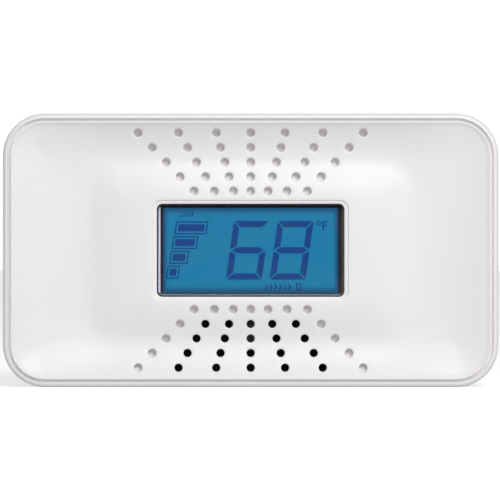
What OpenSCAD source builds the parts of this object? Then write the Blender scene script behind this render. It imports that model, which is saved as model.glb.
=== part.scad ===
// Carbon monoxide detector: a shallow white box that stands on a table or hangs on a wall,
// with a dished front, a lit display and a fan of round holes above and below the display.
// World frame: X to the right, Y from the front to the wall, Z up, origin under the middle.
// Every sub-part is drawn in a face frame: x to the right, y up from the middle of the
// front, z the depth behind the front rim. placed() turns that frame into the world frame.

/* [Case] */
// Width of the case across the front
case_w = 124; // [118:1:150]
// Height of the case
case_h = 68.5; // [66:0.5:84]
// Depth from the front rim to the wall side
case_d = 38; // [37:0.5:48]
// Corner radius of the case seen from the front
case_r = 10.5; // [9:0.5:13]
// Wall thickness of the front cover's skirt
cover_wall = 2.2; // [1.8:0.1:2.6]
// Thickness of the front cover's dished face
face_t = 2; // [1.6:0.1:2.4]
// Depth of the front cover's skirt
cover_d = 12; // [11.5:0.5:13]
// Wall thickness of the rear housing
rear_wall = 2; // [1.6:0.1:2.6]
// Thickness of the rear housing's back wall
back_t = 2.2; // [1.8:0.1:2.8]
// How far the rear housing stands in from the cover's outline; its feet make this up below
rear_inset = 0.5; // [0.3:0.1:1]
// Shadow gap between the cover and the housing
seam_gap = 0.4; // [0.2:0.1:0.8]
// Length of the housing's tongue inside the cover
tongue_l = 3; // [2:0.5:4]
// Thickness of the tongue
tongue_t = 1.4; // [1:0.1:1.8]
// Radius of the cover's front edge
front_edge_r = 1.1; // [0.6:0.1:1.2]
// Radius of the housing's back edge
back_edge_r = 3; // [1.5:0.5:4]

/* [Dished face] */
// Width of the flat rim round the dish
rim_w = 2.5; // [2.4:0.1:3.5]
// Distance of the decorative groove's middle from the outline
groove_in = 1.6; // [1.5:0.1:1.8]
// Width of the decorative groove
groove_w = 0.7; // [0.4:0.1:0.8]
// Depth of the decorative groove
groove_d = 0.8; // [0.4:0.1:1.2]
// Depth of the dish at its lowest line
dish_d = 4.2; // [3.5:0.1:4.6]
// Depth of the step where the rim drops into the dish
dish_edge_d = 0.6; // [0.4:0.1:1]
// Depth of the middle plateau
plateau_d = 2; // [0.4:0.1:2.2]
// How far the plateau reaches past the window
plateau_margin = 1.1; // [1:0.1:2.5]

/* [Holes] */
// Diameter of one round hole
hole_d = 2.05; // [1.6:0.05:2.4]
// Distance from the middle to the first row
row_first = 14.83; // [14.6:0.01:15.2]
// Distance between rows
row_pitch = 3.65; // [3.4:0.05:3.7]
// Number of rows in each fan
rows = 5; // [4:1:5]
// Depth of a blind hole
dimple_d = 0.9; // [0.5:0.1:1]

/* [Display] */
// Width of the window
window_w = 47; // [38:0.5:48]
// Height of the window
window_h = 23.3; // [21:0.1:23.6]
// Corner radius of the window
window_r = 1.4; // [1:0.1:2]
// Thickness of the face in front of the lens
lens_lip_t = 1.5; // [1.2:0.1:1.6]
// Thickness of the lens
lens_t = 1.2; // [1:0.1:1.5]
// How far the lens reaches past the window
lens_margin = 1.2; // [0.8:0.1:1.4]
// How far the display glass reaches past the window
glass_margin = 1.5; // [1.2:0.1:1.6]
// Thickness of one display glass
glass_t = 1.1; // [0.7:0.1:1.1]
// Height of the contact ledge on the front glass
ledge_h = 2.2; // [2:0.1:2.4]
// Wall of the frame that holds the display
frame_wall = 1.5; // [1.2:0.1:1.5]
// Thickness of the frame's front lip
frame_lip_t = 0.6; // [0.4:0.1:0.8]
// Width of the frame's lip that shows at each side of the window
frame_show_x = 1.6; // [0.6:0.1:2]
// Height of the frame's lip that shows above and below the glass
frame_show_y = 1; // [0.4:0.1:1.4]
// Thickness of the light guide
guide_t = 3; // [2:0.1:3]
// Thickness of the diffuser film and of the reflector foil
film_t = 0.2; // [0.1:0.05:0.3]

/* [Circuit board] */
// Thickness of the circuit board
board_t = 1.6; // [1:0.2:1.6]
// Depth of the board's front face behind the rim
board_z = 13; // [13:0.1:13.4]
// Space between the board's side edges and the case outline
board_side_gap = 8; // [7:0.5:9]
// Space between the board's top and bottom edges and the case outline
board_end_gap = 6.25; // [6:0.25:7]

/* [Sounder] */
// Diameter of the sounder's brass disc
disc_d = 27; // [24:0.5:27.5]
// Thickness of the brass disc and of the ceramic on it
disc_t = 0.25; // [0.2:0.05:0.3]
// Outer diameter of the horn's nozzle
nozzle_d = 14; // [10:0.5:14.5]
// Wall of the horn's nozzle
nozzle_wall = 1.4; // [1:0.1:2]
// Depth of the sound chamber
chamber_l = 7; // [5.5:0.5:9]

/* [Power] */
// Diameter of one lithium cell
cell_d = 14.5; // [12:0.1:14.6]
// Length of one lithium cell without its nub
cell_l = 49.2; // [41:0.1:49.4]
// Travel of the power slider
power_travel = 4; // [3:0.5:4.5]

/* [Sensor] */
// Diameter of the gas sensor's can
sensor_d = 20; // [16:0.5:20]
// Length of the gas sensor's can
sensor_l = 14; // [10:0.5:16]

/* [Test button] */
// Width of the test button on the top
button_w = 33; // [26:0.5:40]
// Depth of the test button
button_l = 11; // [9:0.5:13]
// Travel of the test button
button_travel = 0.6; // [0.3:0.1:0.8]

/* [Fasteners and fixing] */
// Distance between the two wall keyholes
keyhole_pitch = 70; // [60:1:80]
// Diameter of a keyhole's entry
keyhole_d = 8.4; // [7.6:0.2:9]
// Width of a keyhole's neck
neck_w = 4.2; // [3.4:0.2:4.4]
// How far the case drops on its wall screws
keyhole_drop = 6.5; // [5.5:0.5:7]
// Diameter of a case screw's shank
case_screw_d = 2.4; // [2:0.1:2.6]
// Diameter of a board screw's shank
board_screw_d = 1.8; // [1.6:0.1:2]
// Radial clearance between fixed pieces
fit_gap = 0.15; // [0.1:0.05:0.2]
// Gap all round a moving piece
move_gap = 0.25; // [0.15:0.05:0.3]

/* [Hidden] */
$fn = 64;
// Overshoot of a cut past the face it opens
cut = 1;

// Dish: an arc trough along each side, between the rim and the plateau
plateau_x = window_w / 2 + plateau_margin + 1.4;
plateau_y = window_h / 2 + plateau_margin;
dish_x = case_w / 2 - rim_w;
dish_y = case_h / 2 - rim_w;
function arc_r(chord) = (chord * chord / 4 + dish_d * dish_d) / (2 * dish_d);
long_mid = (dish_y + plateau_y) / 2;
long_r = arc_r(dish_y - plateau_y);
end_mid = (dish_x + plateau_x) / 2;
end_r = arc_r(dish_x - plateau_x);
function trough_depth(y) =
    sqrt(long_r * long_r - (abs(y) - long_mid) * (abs(y) - long_mid)) - long_r + dish_d;
function dish_depth(y) = max(abs(y) < long_mid ? plateau_d : dish_edge_d, trough_depth(y));

// Fan of holes: columns run out from the middle of the face
hole_slopes = [-0.958, -0.614, -0.293, 0, 0.293, 0.614, 0.958];
function row_y(i) = row_first + i * row_pitch;

// Display stack, front to back
lens_z = plateau_d + lens_lip_t;
frame_z = lens_z + lens_t;
glass_z = frame_z + frame_lip_t;
film_z = glass_z + 2 * glass_t;
guide_z = film_z + film_t;
foil_z = guide_z + guide_t;
frame_end_z = foil_z + film_t + 0.5;
lens_w = window_w + 2 * lens_margin;
lens_h = window_h + 2 * lens_margin;
glass_w = window_w + 2 * glass_margin;
glass_h = window_h + 2 * glass_margin + 0.7;
frame_w = glass_w + 2 * fit_gap + 2 * frame_wall;
frame_h = glass_h + 2 * fit_gap + 2 * frame_wall;
inner_glass_h = glass_h - 2 * ledge_h;
tower_wall = 1.4;
led_space = 3;
guide_w = glass_w - led_space - 1;
guide_x = led_space / 2;
led_y = 6;
frame_peg_y = 9;

// Case
rear_w = case_w - 2 * rear_inset;
rear_h = case_h - 2 * rear_inset;
rear_z = cover_d + seam_gap;
back_in_z = case_d - back_t;
boss_x = case_w / 2 - 9;
boss_y = case_h / 2 - 9.25;
cover_boss_r = 3.6;
tower_r = 4.4;
screw_head_r = 2.6;
screw_seat_z = rear_z + 2.6;
well_r = screw_head_r + 0.4;
boss_root_z = dish_d + 0.8;
pilot_z = boss_root_z + 1.6;
board_pilot_z = boss_root_z + 2;
screw_tip_gap = 0.6;
through_z = boss_root_z + 3;
thread_gap = 0.05;
vent_count = 5;
vent_w = 1.6;
vent_l = 30;
vent_pitch = 3.8;
foot_w = 14;
foot_l = 4;
foot_x = case_w / 4;
foot_z = case_d - back_edge_r - 5;

// Board and the places of what it carries
board_w = case_w - 2 * board_side_gap;
board_h = case_h - 2 * board_end_gap;
board_back = board_z + board_t;
board_screw_x = board_w / 2 - 7;
board_boss_r = 2.8;
board_head_r = 1.9;
nozzle_y = -(row_first + 1.5 * row_pitch);
chamber_y = nozzle_y + 3.35;
chamber_r = disc_d / 2 + 0.8;
nozzle_r = nozzle_d / 2;
disc_z = board_back + chamber_l - 1.2;
ring_t = 1.6;
coil_at = [22, -23];
// Capacitors as [x, y, radius, height], placed from the display frame's edge clear of its pegs
capacitors_at = [for (c = [[-6, -11.5, 3.15, 11], [6, -10.5, 3.15, 11], [14.5, -8.5, 4, 12]])
    [frame_w / 2 + c[0], c[1], c[2], c[3]]];
driver_at = [26, -1.5];
crystal_at = [9, 1];
thermistor_at = [board_w / 2 - 3, -10.5];
sensor_at = [-37, -14.5];
sensor_base_t = 1.2;
mcu_at = [4, 2];
mcu_side = 9;

// Cells
cell_r = cell_d / 2;
cell_y = 12.25;
cell_z = board_back + 1.2 + cell_r;
cell_x0 = 2.4;
nub_l = 1.3;
nub_r = 2.7;
saddle_w = 4;
tab_t = 0.3;
tab_w = 5;

// Test button
button_z = 22;
button_top = rear_h / 2 + 0.3;
flange_t = 1.2;
flange_lip = 1.4;
flange_top = rear_h / 2 - rear_wall - 0.1;
switch_z = board_back + 3;
switch_side = 6;
switch_top = board_h / 2 - 1.75;
switch_h = 3.5;
plunger_r = 1.7;
plunger_h = 1;

// Power slider
power_at = [36, -20.25];
power_rest_x = power_at.x - power_travel / 2;
lever_w = 1.5;
lever_h = 2.3;
power_body_t = 3.5;
knob_w = 5;
knob_h = 3.6;
slider_flange_w = knob_w + 2 * power_travel + 5;
slider_flange_h = 8;
slider_flange_t = 1.2;
slider_flange_z = back_in_z - 0.1 - slider_flange_t;
fork_w = 5.2;

// Wall keyholes
keyhole_x = keyhole_pitch / 2;
keyhole_y = 5.75;
pocket_d = 3;
pocket_r = keyhole_d / 2 + 0.4;
pocket_wall = 0.9;

label_w = 46;
label_h = 20;
label_y = -9;
label_t = 0.2;

module placed() {
    translate([0, -case_d / 2, case_h / 2]) mirror([0, 1, 0]) rotate([90, 0, 0]) children();
}

// Rounded rectangle with true arcs
module round_rect(w, h, r) {
    square([w - 2 * r, h], center = true);
    square([w, h - 2 * r], center = true);
    for (sx = [-1, 1], sy = [-1, 1])
        translate([sx * (w / 2 - r), sy * (h / 2 - r)]) circle(r = r);
}

module slab(w, h, r, z0, z1) {
    translate([0, 0, z0]) linear_extrude(z1 - z0) round_rect(w, h, r);
}

module block(w, h, z0, z1, at = [0, 0]) {
    translate([at.x - w / 2, at.y - h / 2, z0]) cube([w, h, z1 - z0]);
}

module post(r, z0, z1, at = [0, 0]) {
    translate([at.x, at.y, z0]) cylinder(r = r, h = z1 - z0);
}

// The material outside a rounded edge of radius e, as a flat profile: x inward, y in depth
module edge_profile(e) {
    steps = 6;
    arc = [for (i = [0 : steps]) let (a = 90 - 90 * i / steps) [e - e * cos(a), e - e * sin(a)]];
    polygon(concat([[-cut, e], [-cut, -cut], [e, -cut]], arc));
}

// The profile carried round a rounded rectangle
module round_edge(w, h, r, e) {
    for (sx = [0, 1], sy = [0, 1])
        mirror([sx, 0, 0]) mirror([0, sy, 0]) translate([w / 2 - r, h / 2 - r, 0])
            rotate_extrude(angle = 90) translate([r, 0]) mirror([1, 0]) edge_profile(e);
    for (s = [0, 1]) {
        mirror([s, 0, 0]) translate([w / 2, h / 2 - r, 0])
            rotate([90, 0, 0]) linear_extrude(h - 2 * r) mirror([1, 0]) edge_profile(e);
        mirror([0, s, 0]) translate([-(w / 2 - r), h / 2, 0]) rotate([90, 0, 90])
            linear_extrude(w - 2 * r) mirror([1, 0]) edge_profile(e);
    }
}

// The four troughs, grown by t behind their surface
module troughs(t) {
    for (s = [-1, 1]) {
        translate([0, s * long_mid, dish_d - long_r]) rotate([0, 90, 0])
            cylinder(r = long_r + t, h = case_w + 2, center = true, $fn = 128);
        translate([s * end_mid, 0, dish_d - end_r]) rotate([90, 0, 0])
            cylinder(r = end_r + t, h = case_h + 2, center = true, $fn = 128);
    }
}

module dish() {
    intersection() {
        slab(2 * dish_x, 2 * dish_y, case_r - rim_w, -cut, dish_d + cut);
        union() {
            difference() {
                slab(case_w, case_h, case_r, -2 * cut, dish_edge_d);
                slab(2 * (end_mid - cut), 2 * (long_mid - cut), case_r - rim_w,
                     -3 * cut, dish_edge_d + cut);
            }
            slab(2 * end_mid, 2 * long_mid, case_r - rim_w, -2 * cut, plateau_d);
            troughs(0);
        }
    }
}

module cover_cavity() {
    difference() {
        slab(case_w - 2 * cover_wall, case_h - 2 * cover_wall, case_r - cover_wall,
             plateau_d + face_t, cover_d + cut);
        troughs(face_t);
    }
}

// Below the window the five middle columns of the four outer rows go right through
function is_open(side, row, column) = side < 0 && row > 0 && abs(column - 3) < 3;

module fan_holes() {
    for (side = [-1, 1], row = [0 : rows - 1], column = [0 : 6]) {
        y = row_y(row);
        bottom = is_open(side, row, column) ? through_z : dish_depth(y) + dimple_d;
        post(hole_d / 2, -cut, bottom, [y * hole_slopes[column], side * y], $fn = 32);
    }
}

module at_corners() {
    for (sx = [-1, 1], sy = [-1, 1])
        translate([sx * boss_x, sy * boss_y, 0]) children();
}

module at_board_screws() {
    for (s = [-1, 1])
        translate([s * board_screw_x, 0, 0]) children();
}

module front_cover() {
    color("#f2f0ec") placed() difference() {
        union() {
            difference() {
                slab(case_w, case_h, case_r, 0, cover_d);
                cover_cavity();
            }
            slab(frame_w + 2 * fit_gap + 2 * tower_wall, frame_h + 2 * fit_gap + 2 * tower_wall,
                 1.5, plateau_d, frame_end_z - 0.4);
            at_corners() post(cover_boss_r, boss_root_z, rear_z);
            at_board_screws() post(board_boss_r, boss_root_z, board_z);
        }
        round_edge(case_w, case_h, case_r, front_edge_r);
        difference() {
            grooved(groove_in - groove_w / 2);
            grooved(groove_in + groove_w / 2);
        }
        dish();
        fan_holes();
        slab(window_w, window_h, window_r, -cut, lens_z + cut);
        slab(lens_w + 2 * fit_gap, lens_h + 2 * fit_gap, window_r, lens_z, frame_z + cut);
        block(frame_w + 2 * fit_gap, frame_h + 2 * fit_gap, frame_z, frame_end_z + cut);
        at_corners() post(case_screw_d / 2 + thread_gap, pilot_z, rear_z + cut);
        at_board_screws() post(board_screw_d / 2 + thread_gap, board_pilot_z, board_z + cut);
    }
}

module grooved(inset) {
    slab(case_w - 2 * inset, case_h - 2 * inset, case_r - inset, -cut, groove_d);
}

module rear_shell() {
    difference() {
        slab(rear_w, rear_h, case_r - rear_inset, rear_z, case_d);
        translate([0, 0, case_d]) mirror([0, 0, 1])
            round_edge(rear_w, rear_h, case_r - rear_inset, back_edge_r);
        slab(rear_w - 2 * rear_wall, rear_h - 2 * rear_wall, case_r - rear_inset - rear_wall,
             rear_z - cut, back_in_z);
    }
    difference() {
        inset = cover_wall + fit_gap;
        slab(case_w - 2 * inset, case_h - 2 * inset, case_r - inset,
             rear_z - tongue_l, rear_z + 2);
        slab(case_w - 2 * inset - 2 * tongue_t, case_h - 2 * inset - 2 * tongue_t,
             case_r - inset - tongue_t, rear_z - tongue_l - cut, rear_z + 2 + cut);
    }
}

// Stadium from the keyhole's entry up its neck
module keyhole_track(r, z0, z1) {
    for (y = [keyhole_y, keyhole_y + keyhole_drop])
        post(r, z0, z1, [0, y]);
    block(2 * r, keyhole_drop, z0, z1, [0, keyhole_y + keyhole_drop / 2]);
}

module at_keyholes() {
    for (s = [-1, 1])
        translate([s * keyhole_x, 0, 0]) children();
}

module vents() {
    for (s = [-1, 1], i = [0 : vent_count - 1])
        translate([s * (rear_w / 2 - rear_wall / 2), 0, rear_z + 5 + i * vent_pitch])
            cube([rear_wall + 2 * cut, vent_l, vent_w], center = true);
}

// Two moulded bars that bring the housing level with the cover's underside
module feet() {
    for (s = [-1, 1])
        translate([s * foot_x - foot_w / 2, -case_h / 2, foot_z - foot_l / 2])
            cube([foot_w, rear_inset + rear_wall / 2, foot_l]);
}

module slider_rails() {
    rail_t = 1.2;
    for (s = [-1, 1])
        block(slider_flange_w + power_travel, rail_t, slider_flange_z - 2, back_in_z,
              [power_at.x, power_at.y + s * (slider_flange_h / 2 + move_gap + rail_t / 2)]);
}

module rear_housing() {
    color("#eceae5") placed() difference() {
        union() {
            rear_shell();
            at_corners() post(tower_r, rear_z, back_in_z + 0.5);
            at_keyholes() keyhole_track(pocket_r + pocket_wall,
                                        back_in_z - pocket_d - pocket_wall, back_in_z + 0.5);
            slider_rails();
            feet();
        }
        at_corners() post(case_screw_d / 2 + 0.25, rear_z - cut, screw_seat_z + cut);
        at_corners() post(well_r, screw_seat_z, case_d + cut);
        at_keyholes() keyhole_track(pocket_r, back_in_z - pocket_d, back_in_z);
        at_keyholes() keyhole_track(neck_w / 2, back_in_z - cut, case_d + cut);
        at_keyholes() post(keyhole_d / 2, back_in_z - cut, case_d + cut, [0, keyhole_y]);
        vents();
        translate([0, rear_h / 2 - rear_wall - cut, button_z]) rotate([-90, 0, 0])
            button_outline(button_w + 2 * move_gap, button_l + 2 * move_gap,
                           rear_wall + 2 * cut);
        block(knob_w + power_travel + 2 * move_gap, knob_h + 2 * move_gap,
              back_in_z - cut, case_d + cut, power_at);
        block(label_w, label_h, case_d - label_t, case_d + cut, [0, label_y]);
    }
}

// A plate with round ends, standing up from its own origin
module button_outline(w, l, h) {
    linear_extrude(h) {
        square([w - l, l], center = true);
        for (s = [-1, 1])
            translate([s * (w - l) / 2, 0]) circle(d = l);
    }
}

module display_lens() {
    color("#c9d6dc", 0.35) placed() slab(lens_w, lens_h, window_r, lens_z, frame_z);
}

module lcd_frame() {
    color("#202226") placed() difference() {
        union() {
            block(frame_w, frame_h, frame_z, frame_end_z);
            for (sx = [-1, 1], sy = [-1, 1]) {
                at = [sx * (frame_w / 2 - frame_wall / 2), sy * frame_peg_y];
                post(1.1, frame_end_z - 0.2, board_z, at);
                post(0.7, frame_end_z - 0.2, board_back + 0.5, at);
            }
        }
        block(glass_w + 2 * fit_gap, glass_h + 2 * fit_gap, glass_z, frame_end_z + cut);
        block(window_w - 2 * frame_show_x, window_h - 2 * frame_show_y,
              frame_z - cut, glass_z + cut);
    }
}

module lcd_glass() {
    color("#2c78a7", 0.9) placed() {
        block(glass_w, glass_h, glass_z, glass_z + glass_t);
        block(glass_w, inner_glass_h, glass_z + glass_t, film_z);
    }
}

module diffuser_film() {
    color("#e8f2f8") placed() block(glass_w - 1, inner_glass_h, film_z, guide_z);
}

module light_guide() {
    color("#9fd0ee", 0.6) placed()
        block(guide_w, inner_glass_h - 0.6, guide_z, foil_z, [guide_x, 0]);
}

module reflector_foil() {
    color("#f6f6f6") placed()
        block(guide_w, inner_glass_h - 0.6, foil_z, foil_z + film_t, [guide_x, 0]);
}

module backlight_leds() {
    led_w = 2;
    led_x = -glass_w / 2 + led_w / 2 + 0.2;
    color("#f3e9a8") placed()
        for (s = [-1, 1]) {
            block(led_w, 3.2, guide_z + 0.3, foil_z - 0.3, [led_x, s * led_y]);
            for (p = [-0.9, 0.9])
                block(0.5, 0.5, foil_z - 0.5, board_z, [led_x, s * led_y + p]);
        }
}

module lcd_contacts() {
    strip_t = 1.7;
    color("#5b5b60") placed()
        for (s = [-1, 1])
            block(glass_w - 4, strip_t, glass_z + glass_t, board_z,
                  [0, s * (glass_h / 2 - ledge_h / 2)]);
}

module main_board() {
    color("#1f6b45") placed() difference() {
        slab(board_w, board_h, 2, board_z, board_back);
        at_corners() post(tower_r + 0.6, board_z - cut, board_back + cut);
        at_board_screws() post(board_screw_d / 2 + 0.2, board_z - cut, board_back + cut);
        post(nozzle_r + 0.4, board_z - cut, board_back + cut, [0, nozzle_y]);
        for (sx = [-1, 1], sy = [-1, 1])
            post(0.75, board_z - cut, board_back + cut,
                 [sx * (frame_w / 2 - frame_wall / 2), sy * frame_peg_y]);
    }
}

module microcontroller() {
    color("#26262a") placed() {
        block(mcu_side, mcu_side, board_z - 1.4, board_z - 0.1, mcu_at);
        for (side = [-1, 1], k = [-3 : 3]) {
            out = side * (mcu_side / 2 + 0.4);
            block(1.2, 0.4, board_z - 0.5, board_z, [mcu_at.x + out, mcu_at.y + k]);
            block(0.4, 1.2, board_z - 0.5, board_z, [mcu_at.x + k, mcu_at.y + out]);
        }
    }
}

module sounder_driver() {
    color("#26262a") placed() {
        block(5, 4, board_back + 0.1, board_back + 1.6, driver_at);
        for (k = [-1.5 : 1 : 1.5])
            block(0.4, 6, board_back, board_back + 0.4, [driver_at.x + k * 1.27, driver_at.y]);
    }
}

module quartz_crystal() {
    can_r = 1.5;
    color("#c8c8cc") placed() {
        translate([crystal_at.x, crystal_at.y - 3, board_back + can_r]) rotate([-90, 0, 0])
            cylinder(r = can_r, h = 6);
        for (s = [-0.6, 0.6])
            block(0.4, 1.6, board_back, board_back + can_r, [crystal_at.x + s, crystal_at.y - 3.4]);
    }
}

// Two rows of chips behind the board and one row in front of it
module chip_parts() {
    chip = [2, 1.25, 0.7];
    color("#b79a6a") placed() {
        for (i = [0 : 5], j = [0 : 1])
            block(chip.x, chip.y, board_back, board_back + chip.z, [-20 + 3.4 * i, 1.2 - 2.6 * j]);
        for (i = [0 : 3])
            block(chip.x, chip.y, board_z - chip.z, board_z, [12 + 3.4 * i, 4]);
    }
}

module capacitors() {
    color("#2f3a46") placed()
        for (c = capacitors_at)
            post(c[2], board_back, board_back + c[3], [c.x, c.y]);
}

module coil_core() {
    drum_r = 4.5;
    color("#3a3634") placed() {
        post(drum_r, board_back, board_back + 1.4, coil_at);
        post(2, board_back, board_back + 9, coil_at);
        post(drum_r, board_back + 7.6, board_back + 9, coil_at);
    }
}

module coil_winding() {
    color("#b8692f") placed() difference() {
        post(4.1, board_back + 1.4, board_back + 7.6, coil_at);
        post(2.1, board_back, board_back + 9, coil_at);
    }
}

module thermistor() {
    bead_r = 1.2;
    bead_z = board_back + 7;
    color("#2a2018") placed() {
        translate([thermistor_at.x, thermistor_at.y, bead_z]) sphere(r = bead_r);
        for (s = [-0.6, 0.6])
            post(0.25, board_back, bead_z, [thermistor_at.x, thermistor_at.y + s]);
    }
}

// A cup behind the board whose off-centre nozzle looks out at the open holes
module sounder_chamber() {
    cup_end = board_back + chamber_l;
    at = [0, chamber_y];
    color("#4a4c50") placed() difference() {
        union() {
            post(chamber_r, board_back, cup_end, at);
            post(nozzle_r, frame_end_z + 0.3, board_back + 0.5, [0, nozzle_y]);
        }
        post(disc_d / 2 - 1, board_back + 1.2, cup_end + cut, at);
        post(disc_d / 2 + 0.1, disc_z, cup_end + cut, at);
        post(nozzle_r - nozzle_wall, frame_end_z - cut, board_back + 2, [0, nozzle_y]);
    }
}

module sounder_disc() {
    color("#c9a24a") placed() post(disc_d / 2, disc_z, disc_z + disc_t, [0, chamber_y]);
}

module sounder_ceramic() {
    color("#e9e6de") placed()
        post(disc_d / 3, disc_z + disc_t, disc_z + 2 * disc_t, [0, chamber_y]);
}

module sounder_ring() {
    lip_z = board_back + chamber_l;
    color("#3f4145") placed() difference() {
        union() {
            post(chamber_r, lip_z, lip_z + ring_t, [0, chamber_y]);
            post(disc_d / 2, disc_z + disc_t, lip_z + 0.5, [0, chamber_y]);
        }
        post(disc_d / 2 - 2, disc_z - cut, lip_z + ring_t + cut, [0, chamber_y]);
    }
}

// Two bent springs: up from the board, over the ring and down on the disc and the ceramic
module sounder_contacts() {
    wire = 0.6;
    arm_z = board_back + chamber_l + ring_t + 0.3;
    leg_x = chamber_r + 0.8;
    reach = [disc_d / 3 - 2, disc_d / 2 - 3];
    color("#d8c27a") placed()
        for (s = [0, 1]) mirror([s, 0, 0]) {
            touch_z = disc_z + (s == 0 ? 2 : 1) * disc_t;
            block(wire, 2, board_back, arm_z + wire, [leg_x, chamber_y]);
            block(leg_x - reach[s] + wire, 2, arm_z, arm_z + wire,
                  [(leg_x + reach[s]) / 2, chamber_y]);
            post(wire / 2, touch_z, arm_z + wire / 2, [reach[s], chamber_y]);
        }
}

module sensor_base() {
    color("#d9d6cf") placed() {
        post(sensor_d / 2, board_back, board_back + sensor_base_t, sensor_at);
    }
}

module sensor_can() {
    z0 = board_back + sensor_base_t;
    port_r = 2.5;
    color("#b9bcc0") placed() difference() {
        union() {
            post(sensor_d / 2, z0, z0 + sensor_l, sensor_at);
            post(sensor_d / 2 - 3, z0, z0 + sensor_l + 1.2, sensor_at);
        }
        post(port_r, z0 + sensor_l - 0.2, z0 + sensor_l + 1.2 + cut, sensor_at);
    }
}

module sensor_filter() {
    z0 = board_back + sensor_base_t + sensor_l - 0.2;
    color("#2b2b2e") placed() post(2.4, z0, z0 + 0.8, sensor_at);
}

module battery_cells() {
    color("#6f7479") placed()
        for (s = [0, 1]) {
            x0 = s == 0 ? cell_x0 : -(cell_x0 + cell_l + nub_l);
            translate([x0, cell_y, cell_z]) rotate([0, 90, 0]) {
                cylinder(r = cell_r, h = cell_l);
                cylinder(r = nub_r, h = cell_l + nub_l);
            }
        }
}

// Saddles on a strip that runs just under the display frame's upper pegs
module battery_cradle() {
    strip_h = 1.4;
    strip_t = 1;
    low = frame_peg_y - 2.75;
    high = cell_y + cell_r - 1.25;
    color("#dcdad4") placed() difference() {
        union() {
            block(2 * (cell_x0 + cell_l - 4), strip_h, board_back, board_back + strip_t,
                  [0, low + strip_h / 2]);
            for (s = [-1, 1], x = [cell_x0 + 6, cell_x0 + cell_l - 6])
                block(saddle_w, high - low, board_back, cell_z - 3, [s * x, (low + high) / 2]);
        }
        translate([0, cell_y, cell_z]) rotate([0, 90, 0])
            cylinder(r = cell_r + 0.1, h = case_w, center = true);
    }
}

// A strip on each outer end, and one that joins the two inner ends
module battery_tabs() {
    outer_x = cell_x0 + cell_l + nub_l;
    top_z = cell_z + 2;
    color("#c4c6c8") placed() {
        block(tab_t, tab_w, board_back, top_z, [outer_x + tab_t / 2, cell_y]);
        block(tab_t, tab_w, board_back, top_z, [-outer_x - tab_t / 2, cell_y]);
        for (s = [-1, 1])
            block(tab_t, tab_w, board_back, top_z, [s * (cell_x0 - tab_t / 2), cell_y]);
        block(2 * cell_x0, tab_w, board_back, board_back + tab_t, [0, cell_y]);
    }
}

module test_button() {
    stem_w = 5;
    stem_l = 4;
    stem_end = switch_top + plunger_h + 0.05;
    color("#f0eeea") placed() {
        translate([0, flange_top - flange_t, button_z]) rotate([-90, 0, 0]) {
            button_outline(button_w + 2 * flange_lip, button_l + 2 * flange_lip, flange_t);
            button_outline(button_w, button_l, button_top - flange_top + flange_t);
        }
        translate([-stem_w / 2, stem_end, switch_z - stem_l / 2])
            cube([stem_w, flange_top - flange_t / 2 - stem_end, stem_l]);
    }
}

module test_switch() {
    color("#3a3c40") placed() difference() {
        translate([-switch_side / 2, switch_top - switch_h, board_back])
            cube([switch_side, switch_h, switch_side]);
        translate([0, switch_top - button_travel - 1, switch_z]) rotate([-90, 0, 0])
            cylinder(r = plunger_r + 0.05, h = switch_h);
    }
}

module test_plunger() {
    color("#1d1d20") placed() translate([0, switch_top - 0.9, switch_z]) rotate([-90, 0, 0])
        cylinder(r = plunger_r, h = 0.9 + plunger_h);
}

module power_switch() {
    body_w = 4.6 + power_travel;
    color("#3a3c40") placed() difference() {
        block(body_w, 4.4, board_back, board_back + power_body_t, power_at);
        block(lever_w + power_travel + 0.3, lever_w + 0.3, board_back + power_body_t - 1,
              board_back + power_body_t + cut, power_at);
    }
}

module power_lever() {
    z0 = board_back + power_body_t;
    color("#e6e6e6") placed()
        block(lever_w, lever_w, z0 - 0.9, z0 + lever_h, [power_rest_x, power_at.y]);
}

// The knob fills the slot in the back wall, the flange hides the slot, the fork holds the lever
module power_slider() {
    fork_z = board_back + power_body_t + 0.6;
    at = [power_rest_x, power_at.y];
    color("#d04a35") placed() difference() {
        union() {
            block(knob_w, knob_h, slider_flange_z, case_d - 0.3, at);
            block(slider_flange_w, slider_flange_h, slider_flange_z,
                  slider_flange_z + slider_flange_t, at);
            block(fork_w, 3, fork_z, slider_flange_z + 0.5, at);
        }
        block(lever_w + 0.1, 3 + 2 * cut, fork_z - cut,
              board_back + power_body_t + lever_h + 0.3, at);
    }
}

module cross_recess(r, z0, z1) {
    block(2 * r, 0.45, z0, z1);
    block(0.45, 2 * r, z0, z1);
}

module case_screws() {
    head_t = 1.8;
    color("#9aa0a6") placed() at_corners() difference() {
        union() {
            post(case_screw_d / 2, pilot_z + screw_tip_gap, screw_seat_z + 0.5);
            post(screw_head_r, screw_seat_z, screw_seat_z + head_t);
        }
        cross_recess(1.5, screw_seat_z + head_t - 1, screw_seat_z + head_t + cut);
    }
}

module board_screws() {
    head_t = 1.4;
    color("#9aa0a6") placed() at_board_screws() difference() {
        union() {
            post(board_screw_d / 2, board_pilot_z + screw_tip_gap, board_back + 0.5);
            post(board_head_r, board_back, board_back + head_t);
        }
        cross_recess(1.1, board_back + head_t - 0.8, board_back + head_t + cut);
    }
}

module rating_label() {
    color("#d7d9da") placed()
        block(label_w - 0.4, label_h - 0.4, case_d - label_t, case_d - 0.02, [0, label_y]);
}

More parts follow.
